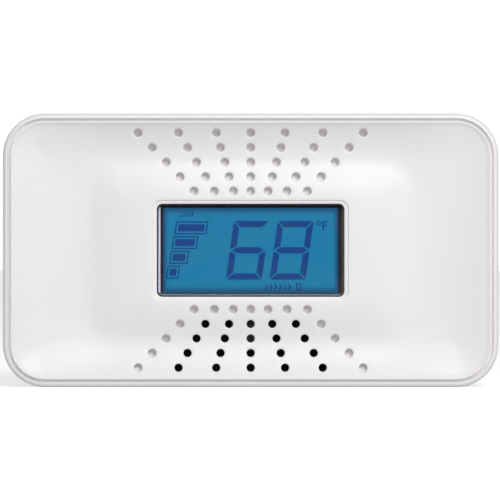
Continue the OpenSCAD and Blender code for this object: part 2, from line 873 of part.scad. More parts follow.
front_cover();
rear_housing();
display_lens();
lcd_frame();
lcd_glass();
diffuser_film();
light_guide();
reflector_foil();
backlight_leds();
lcd_contacts();
main_board();
microcontroller();
sounder_driver();
quartz_crystal();
chip_parts();
capacitors();
coil_core();
coil_winding();
thermistor();
sounder_chamber();
sounder_disc();
sounder_ceramic();
sounder_ring();
sounder_contacts();
sensor_can();
sensor_base();
sensor_filter();
battery_cells();
battery_cradle();
battery_tabs();
test_button();
test_switch();
test_plunger();
power_switch();
power_lever();
power_slider();
case_screws();
board_screws();
rating_label();
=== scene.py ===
"""Looks of a table-top carbon monoxide detector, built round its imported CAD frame.

A dished white front cover with a fan of round holes above and below a lit display closes
against a white rear housing, which holds the cells, the sounder, the gas sensor and the
board. Lengths are in metres. Face coordinates are x to the right, y up from the middle of
the front rim, and depth behind that rim.
"""

from __future__ import annotations

import logging
import math
from collections.abc import Callable, Iterable, Sequence
from dataclasses import dataclass, field
from enum import Enum
from itertools import pairwise
from typing import Any

import bmesh
import bpy
import numpy as np
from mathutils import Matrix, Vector
from mathutils.geometry import delaunay_2d_cdt


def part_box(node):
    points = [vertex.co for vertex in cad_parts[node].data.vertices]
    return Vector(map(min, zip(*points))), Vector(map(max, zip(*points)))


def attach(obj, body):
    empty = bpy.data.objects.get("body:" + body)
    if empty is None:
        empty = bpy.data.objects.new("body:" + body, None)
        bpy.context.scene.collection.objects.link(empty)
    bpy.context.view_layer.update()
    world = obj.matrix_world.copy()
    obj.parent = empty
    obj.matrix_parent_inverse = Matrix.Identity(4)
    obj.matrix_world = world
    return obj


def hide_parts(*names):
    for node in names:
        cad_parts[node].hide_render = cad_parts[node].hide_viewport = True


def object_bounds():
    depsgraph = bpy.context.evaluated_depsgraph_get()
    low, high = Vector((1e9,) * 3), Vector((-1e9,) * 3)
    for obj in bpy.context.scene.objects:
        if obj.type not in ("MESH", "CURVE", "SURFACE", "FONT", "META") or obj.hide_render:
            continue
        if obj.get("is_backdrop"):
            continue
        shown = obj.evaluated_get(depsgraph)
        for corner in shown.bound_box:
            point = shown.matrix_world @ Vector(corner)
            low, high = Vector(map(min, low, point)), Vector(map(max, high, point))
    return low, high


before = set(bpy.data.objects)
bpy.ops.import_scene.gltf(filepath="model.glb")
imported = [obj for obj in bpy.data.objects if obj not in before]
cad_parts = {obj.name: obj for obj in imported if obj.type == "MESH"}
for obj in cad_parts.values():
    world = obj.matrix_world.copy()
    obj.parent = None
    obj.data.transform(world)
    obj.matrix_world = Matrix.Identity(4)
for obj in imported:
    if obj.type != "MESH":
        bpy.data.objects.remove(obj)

LOG = logging.getLogger("detector")
MM = 0.001
TINY = 1e-7
WELD = 2e-6
Color = tuple[float, float, float]
Counts = tuple[int, int, int]
Step = tuple[float, float, float]


# ---------------------------------------------------------------- outlines and places


@dataclass(frozen=True)
class RoundRect:
    """A rounded rectangle in a flat plane. With a radius as large as its halves, a circle.

    Attributes:
        half_w: Half of its width.
        half_h: Half of its height.
        radius: Corner radius.
        x: Middle along the first axis.
        y: Middle along the second axis.
    """

    half_w: float
    half_h: float
    radius: float
    x: float = 0.0
    y: float = 0.0

    @staticmethod
    def circle(radius: float, x: float = 0.0, y: float = 0.0) -> "RoundRect":
        """A circle as a rounded rectangle."""
        return RoundRect(radius, radius, radius, x, y)

    def inset(self, by: float) -> "RoundRect":
        """The outline moved inwards, with its corners kept round.

        Args:
            by: Distance inwards; outwards where it is negative.

        Returns:
            The moved outline.
        """
        radius = max(self.radius - by, TINY)
        return RoundRect(self.half_w - by, self.half_h - by, radius, self.x, self.y)

    def points(self, across: int, along: int, corner: int) -> np.ndarray:
        """Points round the outline, counter-clockwise.

        Args:
            across: Steps on each of the two sides that run along the first axis.
            along: Steps on each of the two sides that run along the second axis.
            corner: Steps in each corner.

        Returns:
            An array of points, two numbers each.
        """
        w, h = self.half_w - self.radius, self.half_h - self.radius
        made: list[tuple[float, float]] = []
        for side, (cx, cy) in enumerate(((w, h), (-w, h), (-w, -h), (w, -h))):
            steps = along if side % 2 == 0 else across
            turn = side * math.pi / 2
            run = 2 * (h if side % 2 == 0 else w)
            back, out = (math.sin(turn), -math.cos(turn)), (math.cos(turn), math.sin(turn))
            for k in range(steps):
                rest = run * (1 - k / steps)
                made.append((cx + back[0] * rest + out[0] * self.radius,
                             cy + back[1] * rest + out[1] * self.radius))
            for k in range(corner):
                angle = turn + math.pi / 2 * k / corner
                made.append((cx + math.cos(angle) * self.radius,
                             cy + math.sin(angle) * self.radius))
        return np.array(made) + (self.x, self.y)

    def distance(self, x: np.ndarray, y: np.ndarray, soft: float = 0.0) -> np.ndarray:
        """Signed distance of points from the outline, negative inside.

        Args:
            x: First coordinates.
            y: Second coordinates.
            soft: Width over which the ridges between two inner sides are rounded.

        Returns:
            One distance for each point.
        """
        qx = np.abs(x - self.x) - (self.half_w - self.radius)
        qy = np.abs(y - self.y) - (self.half_h - self.radius)
        outer = np.hypot(np.maximum(qx, 0), np.maximum(qy, 0))
        inner = np.minimum(np.maximum(qx, qy), 0)
        if soft:
            width = np.clip(-(qx + qy), TINY, soft)
            share = np.clip(1 - np.abs(qx - qy) / width, 0, 1)
            inner = inner + np.where(inner < 0, width / 4 * share**2, 0)
        return outer + inner - self.radius


@dataclass(frozen=True)
class Seat:
    """Where a piece is drawn: an origin and three directions in the frame's coordinates."""

    origin: Vector
    right: Vector
    up: Vector
    into: Vector

    @staticmethod
    def on_face() -> "Seat":
        """The seat of face coordinates, in the middle of the front cover's rim."""
        low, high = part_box("front_cover")
        middle = Vector(((low.x + high.x) / 2, low.y, (low.z + high.z) / 2))
        return Seat(middle, Vector((1, 0, 0)), Vector((0, 0, 1)), Vector((0, 1, 0)))

    @staticmethod
    def on_top(x: float, y: float, z: float) -> "Seat":
        """A seat that looks down from a point: x right, y towards the wall, depth down."""
        return Seat(Vector((x, y, z)), Vector((1, 0, 0)), Vector((0, 1, 0)), Vector((0, 0, -1)))

    @staticmethod
    def on_side(x: float, y: float, z: float, turn: float) -> "Seat":
        """A seat that looks in from an end wall: x towards the wall side, y up."""
        return Seat(Vector((x, y, z)), Vector((0, 1, 0)), Vector((0, 0, 1)), Vector((turn, 0, 0)))

    def place(self, points: np.ndarray) -> np.ndarray:
        """Turns points of this seat into points of the frame.

        Args:
            points: Rows of x, y and depth.

        Returns:
            Rows of frame coordinates.
        """
        axes = np.array([self.right, self.up, self.into], float)
        return np.asarray(points, float) @ axes + np.array(self.origin, float)


FACE = Seat.on_face()


def depth_span(node: str) -> tuple[float, float]:
    """The least and greatest depth of a CAD node behind the front rim."""
    low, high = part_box(node)
    return low.y - FACE.origin.y, high.y - FACE.origin.y


def face_rect(node: str, radius: float) -> RoundRect:
    """A CAD node's box as an outline in face coordinates.

    Args:
        node: Name of the node.
        radius: Corner radius to give the outline.

    Returns:
        The outline round the node.
    """
    low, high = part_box(node)
    return RoundRect((high.x - low.x) / 2, (high.z - low.z) / 2, radius,
                     (low.x + high.x) / 2 - FACE.origin.x, (low.z + high.z) / 2 - FACE.origin.z)


# ---------------------------------------------------------------- meshes


class Skin:
    """Gathers rings and sheets of points in a seat's coordinates into one closed mesh."""

    def __init__(self) -> None:
        """Starts with nothing."""
        self.points: list[tuple[float, float, float]] = []
        self.faces: list[tuple[int, ...]] = []

    def ring(self, outline: np.ndarray, depth: float | np.ndarray) -> range:
        """Adds the points of one outline.

        Args:
            outline: Points in the plane.
            depth: One depth, or one for each point.

        Returns:
            The numbers of the new points.
        """
        start = len(self.points)
        depths = np.broadcast_to(depth, len(outline))
        self.points += [(x, y, d) for (x, y), d in zip(outline.tolist(), depths.tolist())]
        return range(start, len(self.points))

    def bridge(self, first: Sequence[int], second: Sequence[int]) -> None:
        """Joins two rings of equal length with four-sided faces."""
        count = len(first)
        for i in range(count):
            j = (i + 1) % count
            self.faces.append((first[i], first[j], second[j], second[i]))

    def cap(self, ring: Sequence[int]) -> None:
        """Closes a flat ring with one face."""
        self.faces.append(tuple(ring))

    def loft(self, rings: Iterable[tuple[np.ndarray, float | np.ndarray]]) -> list[range]:
        """Adds rings one after another and joins each to the next.

        Args:
            rings: Pairs of outline and depth.

        Returns:
            The point numbers of every ring.
        """
        made = [self.ring(outline, depth) for outline, depth in rings]
        for first, second in pairwise(made):
            self.bridge(first, second)
        return made

    def solid(self, rings: Iterable[tuple[np.ndarray, float | np.ndarray]]) -> None:
        """Lofts rings and closes both ends."""
        made = self.loft(rings)
        self.cap(made[0])
        self.cap(made[-1])

    def sheet(self, edge: RoundRect, counts: Counts, cuts: Sequence[tuple[RoundRect, Counts]],
              pitch: float, depth: float) -> None:
        """Fills the space between an outer rim and cut-outs with small, even triangles.

        Args:
            edge: The outer rim.
            counts: Steps of the rim.
            cuts: Each cut-out's outline and steps.
            pitch: Distance between the points inside.
            depth: Depth of the sheet.
        """
        rows = int(2 * edge.half_h / (pitch * math.sqrt(0.75)))
        columns = int(2 * edge.half_w / pitch)
        j, i = np.meshgrid(np.arange(rows + 1), np.arange(columns + 1), indexing="ij")
        x = (i - columns / 2 + (j % 2) / 2).ravel() * pitch
        y = ((j - rows / 2) * pitch * math.sqrt(0.75)).ravel()
        keep = edge.distance(x, y) < -pitch / 2
        for cut, _ in cuts:
            keep &= cut.distance(x, y) > pitch / 2
        loops = [edge.points(*counts), *(cut.points(*steps) for cut, steps in cuts)]
        edges, start = [], 0
        for loop in loops:
            count = len(loop)
            edges += [(start + k, start + (k + 1) % count) for k in range(count)]
            start += count
        every = np.vstack([*loops, np.column_stack([x[keep], y[keep]])])
        found, _, triangles, *_ = delaunay_2d_cdt([Vector(p) for p in every], edges, [], 0, TINY)
        flat = np.array([tuple(p) for p in found])
        corners = np.array(triangles)
        middle = flat[corners].mean(axis=1)
        inside = edge.distance(middle[:, 0], middle[:, 1]) < TINY
        for cut, steps in cuts:
            sag = cut.radius * (1 - math.cos(math.pi / 4 / steps[2]))
            inside &= cut.distance(middle[:, 0], middle[:, 1]) > -sag - TINY
        start = len(self.points)
        self.points += [(px, py, depth) for px, py in flat.tolist()]
        self.faces += [tuple(start + c for c in t) for t in corners[inside].tolist()]

    def take(self, mesh: bpy.types.Mesh) -> None:
        """Adds another mesh's points and faces as they are."""
        start = len(self.points)
        self.points += [tuple(v.co) for v in mesh.vertices]
        self.faces += [tuple(start + i for i in p.vertices) for p in mesh.polygons]

    def shift(self, move: Callable[[np.ndarray, np.ndarray], np.ndarray], start: int = 0) -> None:
        """Adds to the depth of points an amount that depends on where they are.

        Args:
            move: Gives the added depth from the two plane coordinates.
            start: The first point that moves.
        """
        moving = np.array(self.points[start:])
        moving[:, 2] += move(moving[:, 0], moving[:, 1])
        self.points[start:] = [tuple(p) for p in moving.tolist()]

    def mesh(self, name: str, seat: Seat = FACE, crease: float = 40.0) -> bpy.types.Mesh:
        """Welds everything gathered into a mesh with outward faces.

        Args:
            name: Name of the mesh.
            seat: Where it is placed.
            crease: Angle in degrees past which an edge stays sharp.

        Returns:
            The finished mesh.
        """
        made = bpy.data.meshes.new(name)
        made.from_pydata(seat.place(np.array(self.points)).tolist(), [], self.faces)
        tidy = bmesh.new()
        tidy.from_mesh(made)
        bmesh.ops.remove_doubles(tidy, verts=tidy.verts, dist=WELD)
        bmesh.ops.recalc_face_normals(tidy, faces=tidy.faces)
        tidy.to_mesh(made)
        tidy.free()
        smooth(made, crease)
        return made


def smooth(mesh: bpy.types.Mesh, crease: float = 40.0) -> None:
    """Shades a mesh smooth, with sharp edges past an angle in degrees."""
    mesh.shade_smooth()
    mesh.set_sharp_from_angle(angle=math.radians(crease))


def link(name: str, mesh: bpy.types.Mesh) -> bpy.types.Object:
    """Puts a mesh in the scene as an object of that name."""
    made = bpy.data.objects.new(name, mesh)
    bpy.context.scene.collection.objects.link(made)
    return made


def baked(obj: bpy.types.Object, name: str) -> bpy.types.Object:
    """Turns an object and its modifiers into a plain object.

    Args:
        obj: The object with live modifiers; it is removed.
        name: Name of the plain object.

    Returns:
        The plain object.
    """
    graph = bpy.context.evaluated_depsgraph_get()
    mesh = bpy.data.meshes.new_from_object(obj.evaluated_get(graph), depsgraph=graph)
    bpy.data.objects.remove(obj)
    mesh.name = name
    return link(name, mesh)


def rounded_rings(shape: RoundRect, front: float, back: float, edge: float,
                  counts: Counts, steps: int = 4) -> list[tuple[np.ndarray, float]]:
    """Rings of a slab whose two edges are rounded.

    Args:
        shape: Outline of the slab.
        front: Depth of its front face.
        back: Depth of its back face.
        edge: Radius of the edges.
        counts: Steps across, along and in each corner.
        steps: Steps in each rounded edge.

    Returns:
        Pairs of outline and depth, front to back.
    """
    turns = [math.pi / 2 * k / steps for k in range(steps + 1)]
    arc = [(edge * (1 - math.sin(t)), edge * (1 - math.cos(t))) for t in turns]
    rings = [(shape.inset(i).points(*counts), front + d) for i, d in arc]
    return rings + [(shape.inset(i).points(*counts), back - d) for i, d in reversed(arc)]


class Cut(Enum):
    """What a boolean step does with its tools."""

    JOIN = "UNION"
    CARVE = "DIFFERENCE"


def shaped(obj: bpy.types.Object, tools: Sequence[bpy.types.Object], how: Cut) -> bpy.types.Object:
    """Joins tools to an object or carves them from it, and removes the tools.

    Args:
        obj: The object to shape.
        tools: Closed objects that work on it.
        how: Whether they are joined or carved.

    Returns:
        The shaped object, under the same name.
    """
    for tool in tools:
        step = obj.modifiers.new(tool.name, "BOOLEAN")
        step.operation = how.value
        step.solver = "EXACT"
        step.object = tool
    name = obj.name
    made = baked(obj, name)
    made.name = name
    for tool in tools:
        bpy.data.objects.remove(tool)
    return made


# ---------------------------------------------------------------- node trees


def wire(tree: bpy.types.NodeTree, kind: str, inputs: dict[int | str, Any] | None = None,
         **settings: Any) -> bpy.types.Node:
    """Adds one node to a tree.

    Args:
        tree: The tree to add to.
        kind: The node's type.
        inputs: A value or another node's socket for each input that isn't left as it is.
        **settings: Properties of the node.

    Returns:
        The new node.
    """
    node = tree.nodes.new(kind)
    for key, value in settings.items():
        setattr(node, key, value)
    for key, value in (inputs or {}).items():
        if isinstance(value, bpy.types.NodeSocket):
            tree.links.new(value, node.inputs[key])
        else:
            node.inputs[key].default_value = value
    return node


class Grower:
    """A geometry node tree with named inputs that makes pieces which repeat."""

    def __init__(self, name: str, **inputs: str) -> None:
        """Makes an empty tree.

        Args:
            name: Name of the tree.
            **inputs: Socket type of each named input, such as Float or Int.
        """
        self.tree = bpy.data.node_groups.new(name, "GeometryNodeTree")
        face = self.tree.interface
        face.new_socket(name="Geometry", in_out="INPUT", socket_type="NodeSocketGeometry")
        face.new_socket(name="Geometry", in_out="OUTPUT", socket_type="NodeSocketGeometry")
        for key, kind in inputs.items():
            face.new_socket(name=key, in_out="INPUT", socket_type=f"NodeSocket{kind}")
        face.new_socket(name="finish", in_out="INPUT", socket_type="NodeSocketMaterial")
        self.given = self.tree.nodes.new("NodeGroupInput").outputs

    def add(self, kind: str, inputs: dict[int | str, Any] | None = None, **settings: Any) -> Any:
        """Adds a node and returns its first output."""
        return wire(self.tree, kind, inputs, **settings).outputs[0]

    def finish(self, geometry: bpy.types.NodeSocket) -> None:
        """Ends the tree: instances become real, and the finish is set."""
        real = self.add("GeometryNodeRealizeInstances", {"Geometry": geometry})
        dressed = self.add("GeometryNodeSetMaterial", {"Geometry": real,
                                                       "Material": self.given["finish"]})
        wire(self.tree, "NodeGroupOutput", {0: dressed})

    def grow(self, name: str, seed: bpy.types.Mesh, **values: Any) -> bpy.types.Object:
        """Runs the tree on a mesh.

        Args:
            name: Name of the result.
            seed: The mesh that the tree starts from.
            **values: A value for each named input.

        Returns:
            A plain object.
        """
        obj = link(f"{name}_seed", seed)
        step = obj.modifiers.new(name, "NODES")
        step.node_group = self.tree
        for item in self.tree.interface.items_tree:
            if item.in_out == "INPUT" and item.name in values:
                step[item.identifier] = values[item.name]
        return baked(obj, name)


def repeater() -> Grower:
    """A tree that repeats a mesh on a lattice of two steps."""
    made = Grower("lattice", across="Int", step_across="Vector", along="Int",
                  step_along="Vector")
    row = made.add("GeometryNodeMeshLine", {"Count": made.given["across"],
                                            "Offset": made.given["step_across"]})
    column = made.add("GeometryNodeMeshLine", {"Count": made.given["along"],
                                               "Offset": made.given["step_along"]})
    one = made.add("GeometryNodeInstanceOnPoints", {"Points": row,
                                                    "Instance": made.given["Geometry"]})
    both = made.add("GeometryNodeInstanceOnPoints", {"Points": column, "Instance": one})
    made.finish(both)
    return made


def repeated(name: str, seed: bpy.types.Mesh, finish: bpy.types.Material, across: int,
             step_across: Step, along: int = 1, step_along: Step = (0.0, 0.0, 0.0)
             ) -> bpy.types.Object:
    """A mesh repeated in a row, or on a lattice.

    Args:
        name: Name of the result.
        seed: The mesh, where the first copy lies.
        finish: The material of the copies.
        across: How many copies stand in a row.
        step_across: The way from one to the next.
        along: How many rows there are.
        step_along: The way from one row to the next.

    Returns:
        A plain object.
    """
    return repeater().grow(name, seed, across=across, step_across=step_across, along=along,
                           step_along=step_along, finish=finish)


def perforator(lip_steps: int = 4, fillet: float = 0.25) -> Grower:
    """A tree that puts a round-mouthed hole lining on every point.

    A point's attribute "open" says whether its lining is a tube or a cup.

    Args:
        lip_steps: Steps in the rounded mouth.
        fillet: Rounding round a cup's flat bottom, as a share of its radius.

    Returns:
        The tree.
    """
    made = Grower("hole_linings", sides="Int", mouth="Float", bore="Float", lip="Float",
                  cup="Float", wall="Float")
    given = made.given

    def number(kind: str, first: Any, second: Any) -> bpy.types.NodeSocket:
        """One sum or product of two numbers."""
        return made.add("ShaderNodeMath", {0: first, 1: second}, operation=kind)

    def band(wide: Any, narrow: Any, top: Any, height: Any) -> bpy.types.NodeSocket:
        """An open band from one radius to another, starting at a depth."""
        cone = made.add("GeometryNodeMeshCone", {
            "Vertices": given["sides"], "Radius Bottom": wide, "Radius Top": narrow,
            "Depth": height}, fill_type="NONE")
        place = made.add("ShaderNodeCombineXYZ", {"Z": top})
        return made.add("GeometryNodeTransform", {"Geometry": cone, "Translation": place})

    flare = number("SUBTRACT", given["mouth"], given["bore"])
    radii, depths = [given["mouth"]], [number("MULTIPLY", given["lip"], 0.0)]
    for k in range(1, lip_steps + 1):
        angle = math.pi / 2 * k / lip_steps
        radii.append(number("SUBTRACT", given["mouth"],
                            number("MULTIPLY", flare, math.sin(angle))))
        depths.append(number("MULTIPLY", given["lip"], 1 - math.cos(angle)))
    lip = [band(radii[k], radii[k + 1], depths[k], number("SUBTRACT", depths[k + 1], depths[k]))
           for k in range(lip_steps)]
    rounding = number("MULTIPLY", given["bore"], fillet)
    straight = number("SUBTRACT", given["cup"], rounding)
    cup = [band(given["bore"], given["bore"], depths[-1],
                number("SUBTRACT", straight, depths[-1]))]
    shares = [(1 - fillet * (1 - math.cos(a)), math.sin(a))
              for a in (math.pi / 2 * k / 4 for k in range(5))]
    for (wide, high), (narrow, low) in pairwise(shares):
        cup.append(band(number("MULTIPLY", given["bore"], wide),
                        number("MULTIPLY", given["bore"], narrow),
                        number("ADD", straight, number("MULTIPLY", rounding, high)),
                        number("MULTIPLY", rounding, low - high)))
    last, high = shares[-1]
    cup.append(made.add("GeometryNodeTransform", {
        "Geometry": made.add("GeometryNodeMeshCircle", {
            "Vertices": given["sides"], "Radius": number("MULTIPLY", given["bore"], last)},
            fill_type="TRIANGLE_FAN"),
        "Translation": made.add("ShaderNodeCombineXYZ", {
            "Z": number("ADD", straight, number("MULTIPLY", rounding, high))})}))
    tube = band(given["bore"], given["bore"], depths[-1],
                number("SUBTRACT", given["wall"], depths[-1]))
    is_open = made.add("GeometryNodeInputNamedAttribute", {"Name": "open"}, data_type="BOOLEAN")
    is_blind = made.add("FunctionNodeBooleanMath", {0: is_open}, operation="NOT")
    sets = []
    for parts, chosen in (([*lip, *cup], is_blind), ([*lip, tube], is_open)):
        joined = wire(made.tree, "GeometryNodeJoinGeometry")
        for part in parts:
            made.tree.links.new(part, joined.inputs[0])
        sets.append(made.add("GeometryNodeInstanceOnPoints", {
            "Points": given["Geometry"], "Selection": chosen, "Instance": joined.outputs[0]}))
    every = wire(made.tree, "GeometryNodeJoinGeometry")
    for one in sets:
        made.tree.links.new(one, every.inputs[0])
    made.finish(every.outputs[0])
    return made


# ---------------------------------------------------------------- finishes


def rgba(color: Color) -> tuple[float, float, float, float]:
    """A colour with full alpha."""
    return (*color, 1.0)


def effect(tree: bpy.types.NodeTree, group: bpy.types.NodeTree,
           inputs: dict[str, Any]) -> bpy.types.Node:
    """Places a shared effect in a material.

    Args:
        tree: The material's tree.
        group: The effect's node group.
        inputs: A value or a socket for each of its inputs.

    Returns:
        The group's node.
    """
    node = tree.nodes.new("ShaderNodeGroup")
    node.node_tree = group
    for key, value in inputs.items():
        if isinstance(value, bpy.types.NodeSocket):
            tree.links.new(value, node.inputs[key])
        else:
            node.inputs[key].default_value = value
    return node


class Effect:
    """A shader node group with named inputs and outputs, shared by many finishes."""

    def __init__(self, name: str, inputs: dict[str, Any], outputs: dict[str, str]) -> None:
        """Makes the group's sockets.

        Args:
            name: Name of the group.
            inputs: Default of each input: a number, or a colour.
            outputs: Socket type of each output.
        """
        self.tree = bpy.data.node_groups.new(name, "ShaderNodeTree")
        for key, value in inputs.items():
            kind = "NodeSocketColor" if isinstance(value, tuple) else "NodeSocketFloat"
            made = self.tree.interface.new_socket(name=key, in_out="INPUT", socket_type=kind)
            made.default_value = rgba(value) if isinstance(value, tuple) else value
        for key, kind in outputs.items():
            self.tree.interface.new_socket(name=key, in_out="OUTPUT", socket_type=kind)
        self.given = self.tree.nodes.new("NodeGroupInput").outputs

    def add(self, kind: str, inputs: dict[int | str, Any] | None = None,
            **settings: Any) -> bpy.types.Node:
        """Adds a node to the group."""
        return wire(self.tree, kind, inputs, **settings)

    def place(self) -> bpy.types.NodeSocket:
        """Object coordinates inside the group."""
        return self.add("ShaderNodeTexCoord").outputs["Object"]

    def finish(self, **results: bpy.types.NodeSocket) -> bpy.types.NodeTree:
        """Joins results to the outputs and gives the finished group."""
        self.add("NodeGroupOutput", {key.replace("_", " "): r for key, r in results.items()})
        return self.tree


def grain_effect() -> bpy.types.NodeTree:
    """Fine pits and swells of a moulded or cast surface."""
    made = Effect("surface_grain", {"Scale": 5000.0, "Detail": 2.0},
                  {"Height": "NodeSocketFloat", "Mask": "NodeSocketFloat"})
    place = made.place()
    swell = made.add("ShaderNodeTexNoise", {"Vector": place, "Scale": made.given["Scale"],
                                            "Detail": made.given["Detail"]})
    finer = made.add("ShaderNodeMath", {0: made.given["Scale"], 1: 2.3}, operation="MULTIPLY")
    pits = made.add("ShaderNodeTexVoronoi", {"Vector": place, "Scale": finer.outputs[0]},
                    feature="SMOOTH_F1")
    height = made.add("ShaderNodeMath", {0: pits.outputs["Distance"], 1: 0.5,
                                         2: swell.outputs["Fac"]}, operation="MULTIPLY_ADD")
    mask = made.add("ShaderNodeMapRange", {"Value": swell.outputs["Fac"], "From Min": 0.3,
                                           "From Max": 0.7})
    return made.finish(Height=height.outputs[0], Mask=mask.outputs[0])


def drift_effect() -> bpy.types.NodeTree:
    """Slow change of a colour towards another over a surface."""
    made = Effect("slow_drift", {"Color": (0.8, 0.8, 0.8), "Other": (0.7, 0.7, 0.7),
                                 "Scale": 60.0, "Amount": 0.2}, {"Color": "NodeSocketColor"})
    cloud = made.add("ShaderNodeTexNoise", {"Vector": made.place(), "Detail": 3.0,
                                            "Scale": made.given["Scale"]})
    share = made.add("ShaderNodeMath", {0: cloud.outputs["Fac"], 1: made.given["Amount"]},
                     operation="MULTIPLY")
    mixed = made.add("ShaderNodeMix", {0: share.outputs[0], 6: made.given["Color"],
                                       7: made.given["Other"]}, data_type="RGBA")
    return made.finish(Color=mixed.outputs[2])


def wear_effect() -> bpy.types.NodeTree:
    """Rubbed colour along outer edges."""
    made = Effect("edge_wear", {"Color": (0.8, 0.8, 0.8), "Worn": (0.9, 0.9, 0.9),
                                "Scale": 900.0, "Amount": 0.3},
                  {"Color": "NodeSocketColor", "Mask": "NodeSocketFloat"})
    edge = made.add("ShaderNodeNewGeometry").outputs["Pointiness"]
    crest = made.add("ShaderNodeMapRange", {"Value": edge, "From Min": 0.51, "From Max": 0.58})
    patch = made.add("ShaderNodeTexNoise", {"Vector": made.place(), "Detail": 4.0,
                                            "Scale": made.given["Scale"]})
    broken = made.add("ShaderNodeMath", {0: crest.outputs[0], 1: patch.outputs["Fac"]},
                      operation="MULTIPLY")
    mask = made.add("ShaderNodeMath", {0: broken.outputs[0], 1: made.given["Amount"]},
                    operation="MULTIPLY", use_clamp=True)
    mixed = made.add("ShaderNodeMix", {0: mask.outputs[0], 6: made.given["Color"],
                                       7: made.given["Worn"]}, data_type="RGBA")
    return made.finish(Color=mixed.outputs[2], Mask=mask.outputs[0])


def dust_effect() -> bpy.types.NodeTree:
    """A thin settled film on faces that look up."""
    made = Effect("settled_dust", {"Color": (0.8, 0.8, 0.8), "Dust": (0.62, 0.6, 0.56),
                                   "Scale": 400.0, "Amount": 0.1},
                  {"Color": "NodeSocketColor", "Mask": "NodeSocketFloat"})
    normal = made.add("ShaderNodeNewGeometry").outputs["Normal"]
    upward = made.add("ShaderNodeSeparateXYZ", {0: normal}).outputs["Z"]
    lying = made.add("ShaderNodeMapRange", {"Value": upward, "From Min": 0.4, "From Max": 1.0})
    patch = made.add("ShaderNodeTexNoise", {"Vector": made.place(), "Detail": 5.0,
                                            "Scale": made.given["Scale"]})
    film = made.add("ShaderNodeMath", {0: lying.outputs[0], 1: patch.outputs["Fac"]},
                    operation="MULTIPLY")
    mask = made.add("ShaderNodeMath", {0: film.outputs[0], 1: made.given["Amount"]},
                    operation="MULTIPLY", use_clamp=True)
    mixed = made.add("ShaderNodeMix", {0: mask.outputs[0], 6: made.given["Color"],
                                       7: made.given["Dust"]}, data_type="RGBA")
    return made.finish(Color=mixed.outputs[2], Mask=mask.outputs[0])


@dataclass
class Effects:
    """The shared node groups."""

    grain: bpy.types.NodeTree = field(default_factory=grain_effect)
    drift: bpy.types.NodeTree = field(default_factory=drift_effect)
    wear: bpy.types.NodeTree = field(default_factory=wear_effect)
    dust: bpy.types.NodeTree = field(default_factory=dust_effect)


@dataclass(frozen=True)
class Finish:
    """A moulded or cast finish, and what other finishes build on.

    Attributes:
        name: Its name, which is also its slot in the record unless slot says otherwise.
        color: Linear base colour.
        roughness: Mean roughness.
        metallic: 1 on bare metal.
        grain: Size of one grain.
        relief: Height of the grain.
        uneven: How far the grain moves the roughness.
        drift: Strength of the slow change of colour.
        wear: Strength of the rubbed edges.
        dust: Strength of the settled film.
        specular: Specular level.
        slot: The record's material slot, where it isn't the name; not used.
    """

    name: str
    color: Color
    roughness: float = 0.42
    metallic: float = 0.0
    grain: float = 0.25 * MM
    relief: float = 0.004 * MM
    uneven: float = 0.06
    drift: float = 0.12
    wear: float = 0.25
    dust: float = 0.06
    specular: float = 0.5
    slot: str = ""

    def pattern(self, tree: bpy.types.NodeTree, color: Any, height: Any) -> tuple[Any, Any]:
        """What this finish adds of its own to colour and height."""
        return color, height

    def shader(self, tree: bpy.types.NodeTree, core: bpy.types.Node) -> bpy.types.NodeSocket:
        """The surface that goes to the output."""
        return core.outputs[0]

    def paint(self, effects: Effects) -> bpy.types.Material:
        """Builds the material.

        Args:
            effects: The shared node groups.

        Returns:
            The material.
        """
        made = bpy.data.materials.new(self.name)
        made.use_nodes = True
        tree = made.node_tree
        tree.nodes.clear()
        core = wire(tree, "ShaderNodeBsdfPrincipled", {
            "Metallic": self.metallic, "Specular IOR Level": self.specular})
        darker = rgba(tuple(c * 0.86 for c in self.color))
        lighter = rgba(tuple(min(1.0, c * 1.1 + 0.03) for c in self.color))
        grain = effect(tree, effects.grain, {"Scale": 1 / self.grain})
        height = grain.outputs["Height"]
        slow = effect(tree, effects.drift, {"Color": rgba(self.color), "Other": darker,
                                                "Amount": self.drift})
        color, height = self.pattern(tree, slow.outputs["Color"], height)
        worn = effect(tree, effects.wear, {"Color": color, "Worn": lighter,
                                               "Amount": self.wear})
        dusty = effect(tree, effects.dust, {"Color": worn.outputs["Color"],
                                                "Amount": self.dust})
        rough = wire(tree, "ShaderNodeMapRange", {
            "Value": grain.outputs["Mask"], "To Min": self.roughness - self.uneven,
            "To Max": self.roughness + self.uneven})
        bump = wire(tree, "ShaderNodeBump", {"Height": height, "Distance": self.relief,
                                             "Strength": 1.0})
        tree.links.new(dusty.outputs["Color"], core.inputs["Base Color"])
        tree.links.new(rough.outputs[0], core.inputs["Roughness"])
        tree.links.new(bump.outputs[0], core.inputs["Normal"])
        wire(tree, "ShaderNodeOutputMaterial", {"Surface": self.shader(tree, core)})
        return made


@dataclass(frozen=True)
class Metal(Finish):
    """Drawn, rolled or plated metal with fine lines along one axis.

    Attributes:
        lines: How much finer the pattern is across the lines, for each axis.
    """

    metallic: float = 1.0
    roughness: float = 0.32
    lines: tuple[float, float, float] = (900.0, 9000.0, 9000.0)
    drift: float = 0.4

    def pattern(self, tree: bpy.types.NodeTree, color: Any, height: Any) -> tuple[Any, Any]:
        """Adds stretched lines to the height."""
        place = wire(tree, "ShaderNodeTexCoord").outputs["Object"]
        drawn = wire(tree, "ShaderNodeMapping", {"Vector": place, "Scale": self.lines})
        lines = wire(tree, "ShaderNodeTexNoise", {"Vector": drawn.outputs[0], "Scale": 1.0})
        both = wire(tree, "ShaderNodeMath", {0: lines.outputs["Fac"], 1: height}, operation="ADD")
        return color, both.outputs[0]


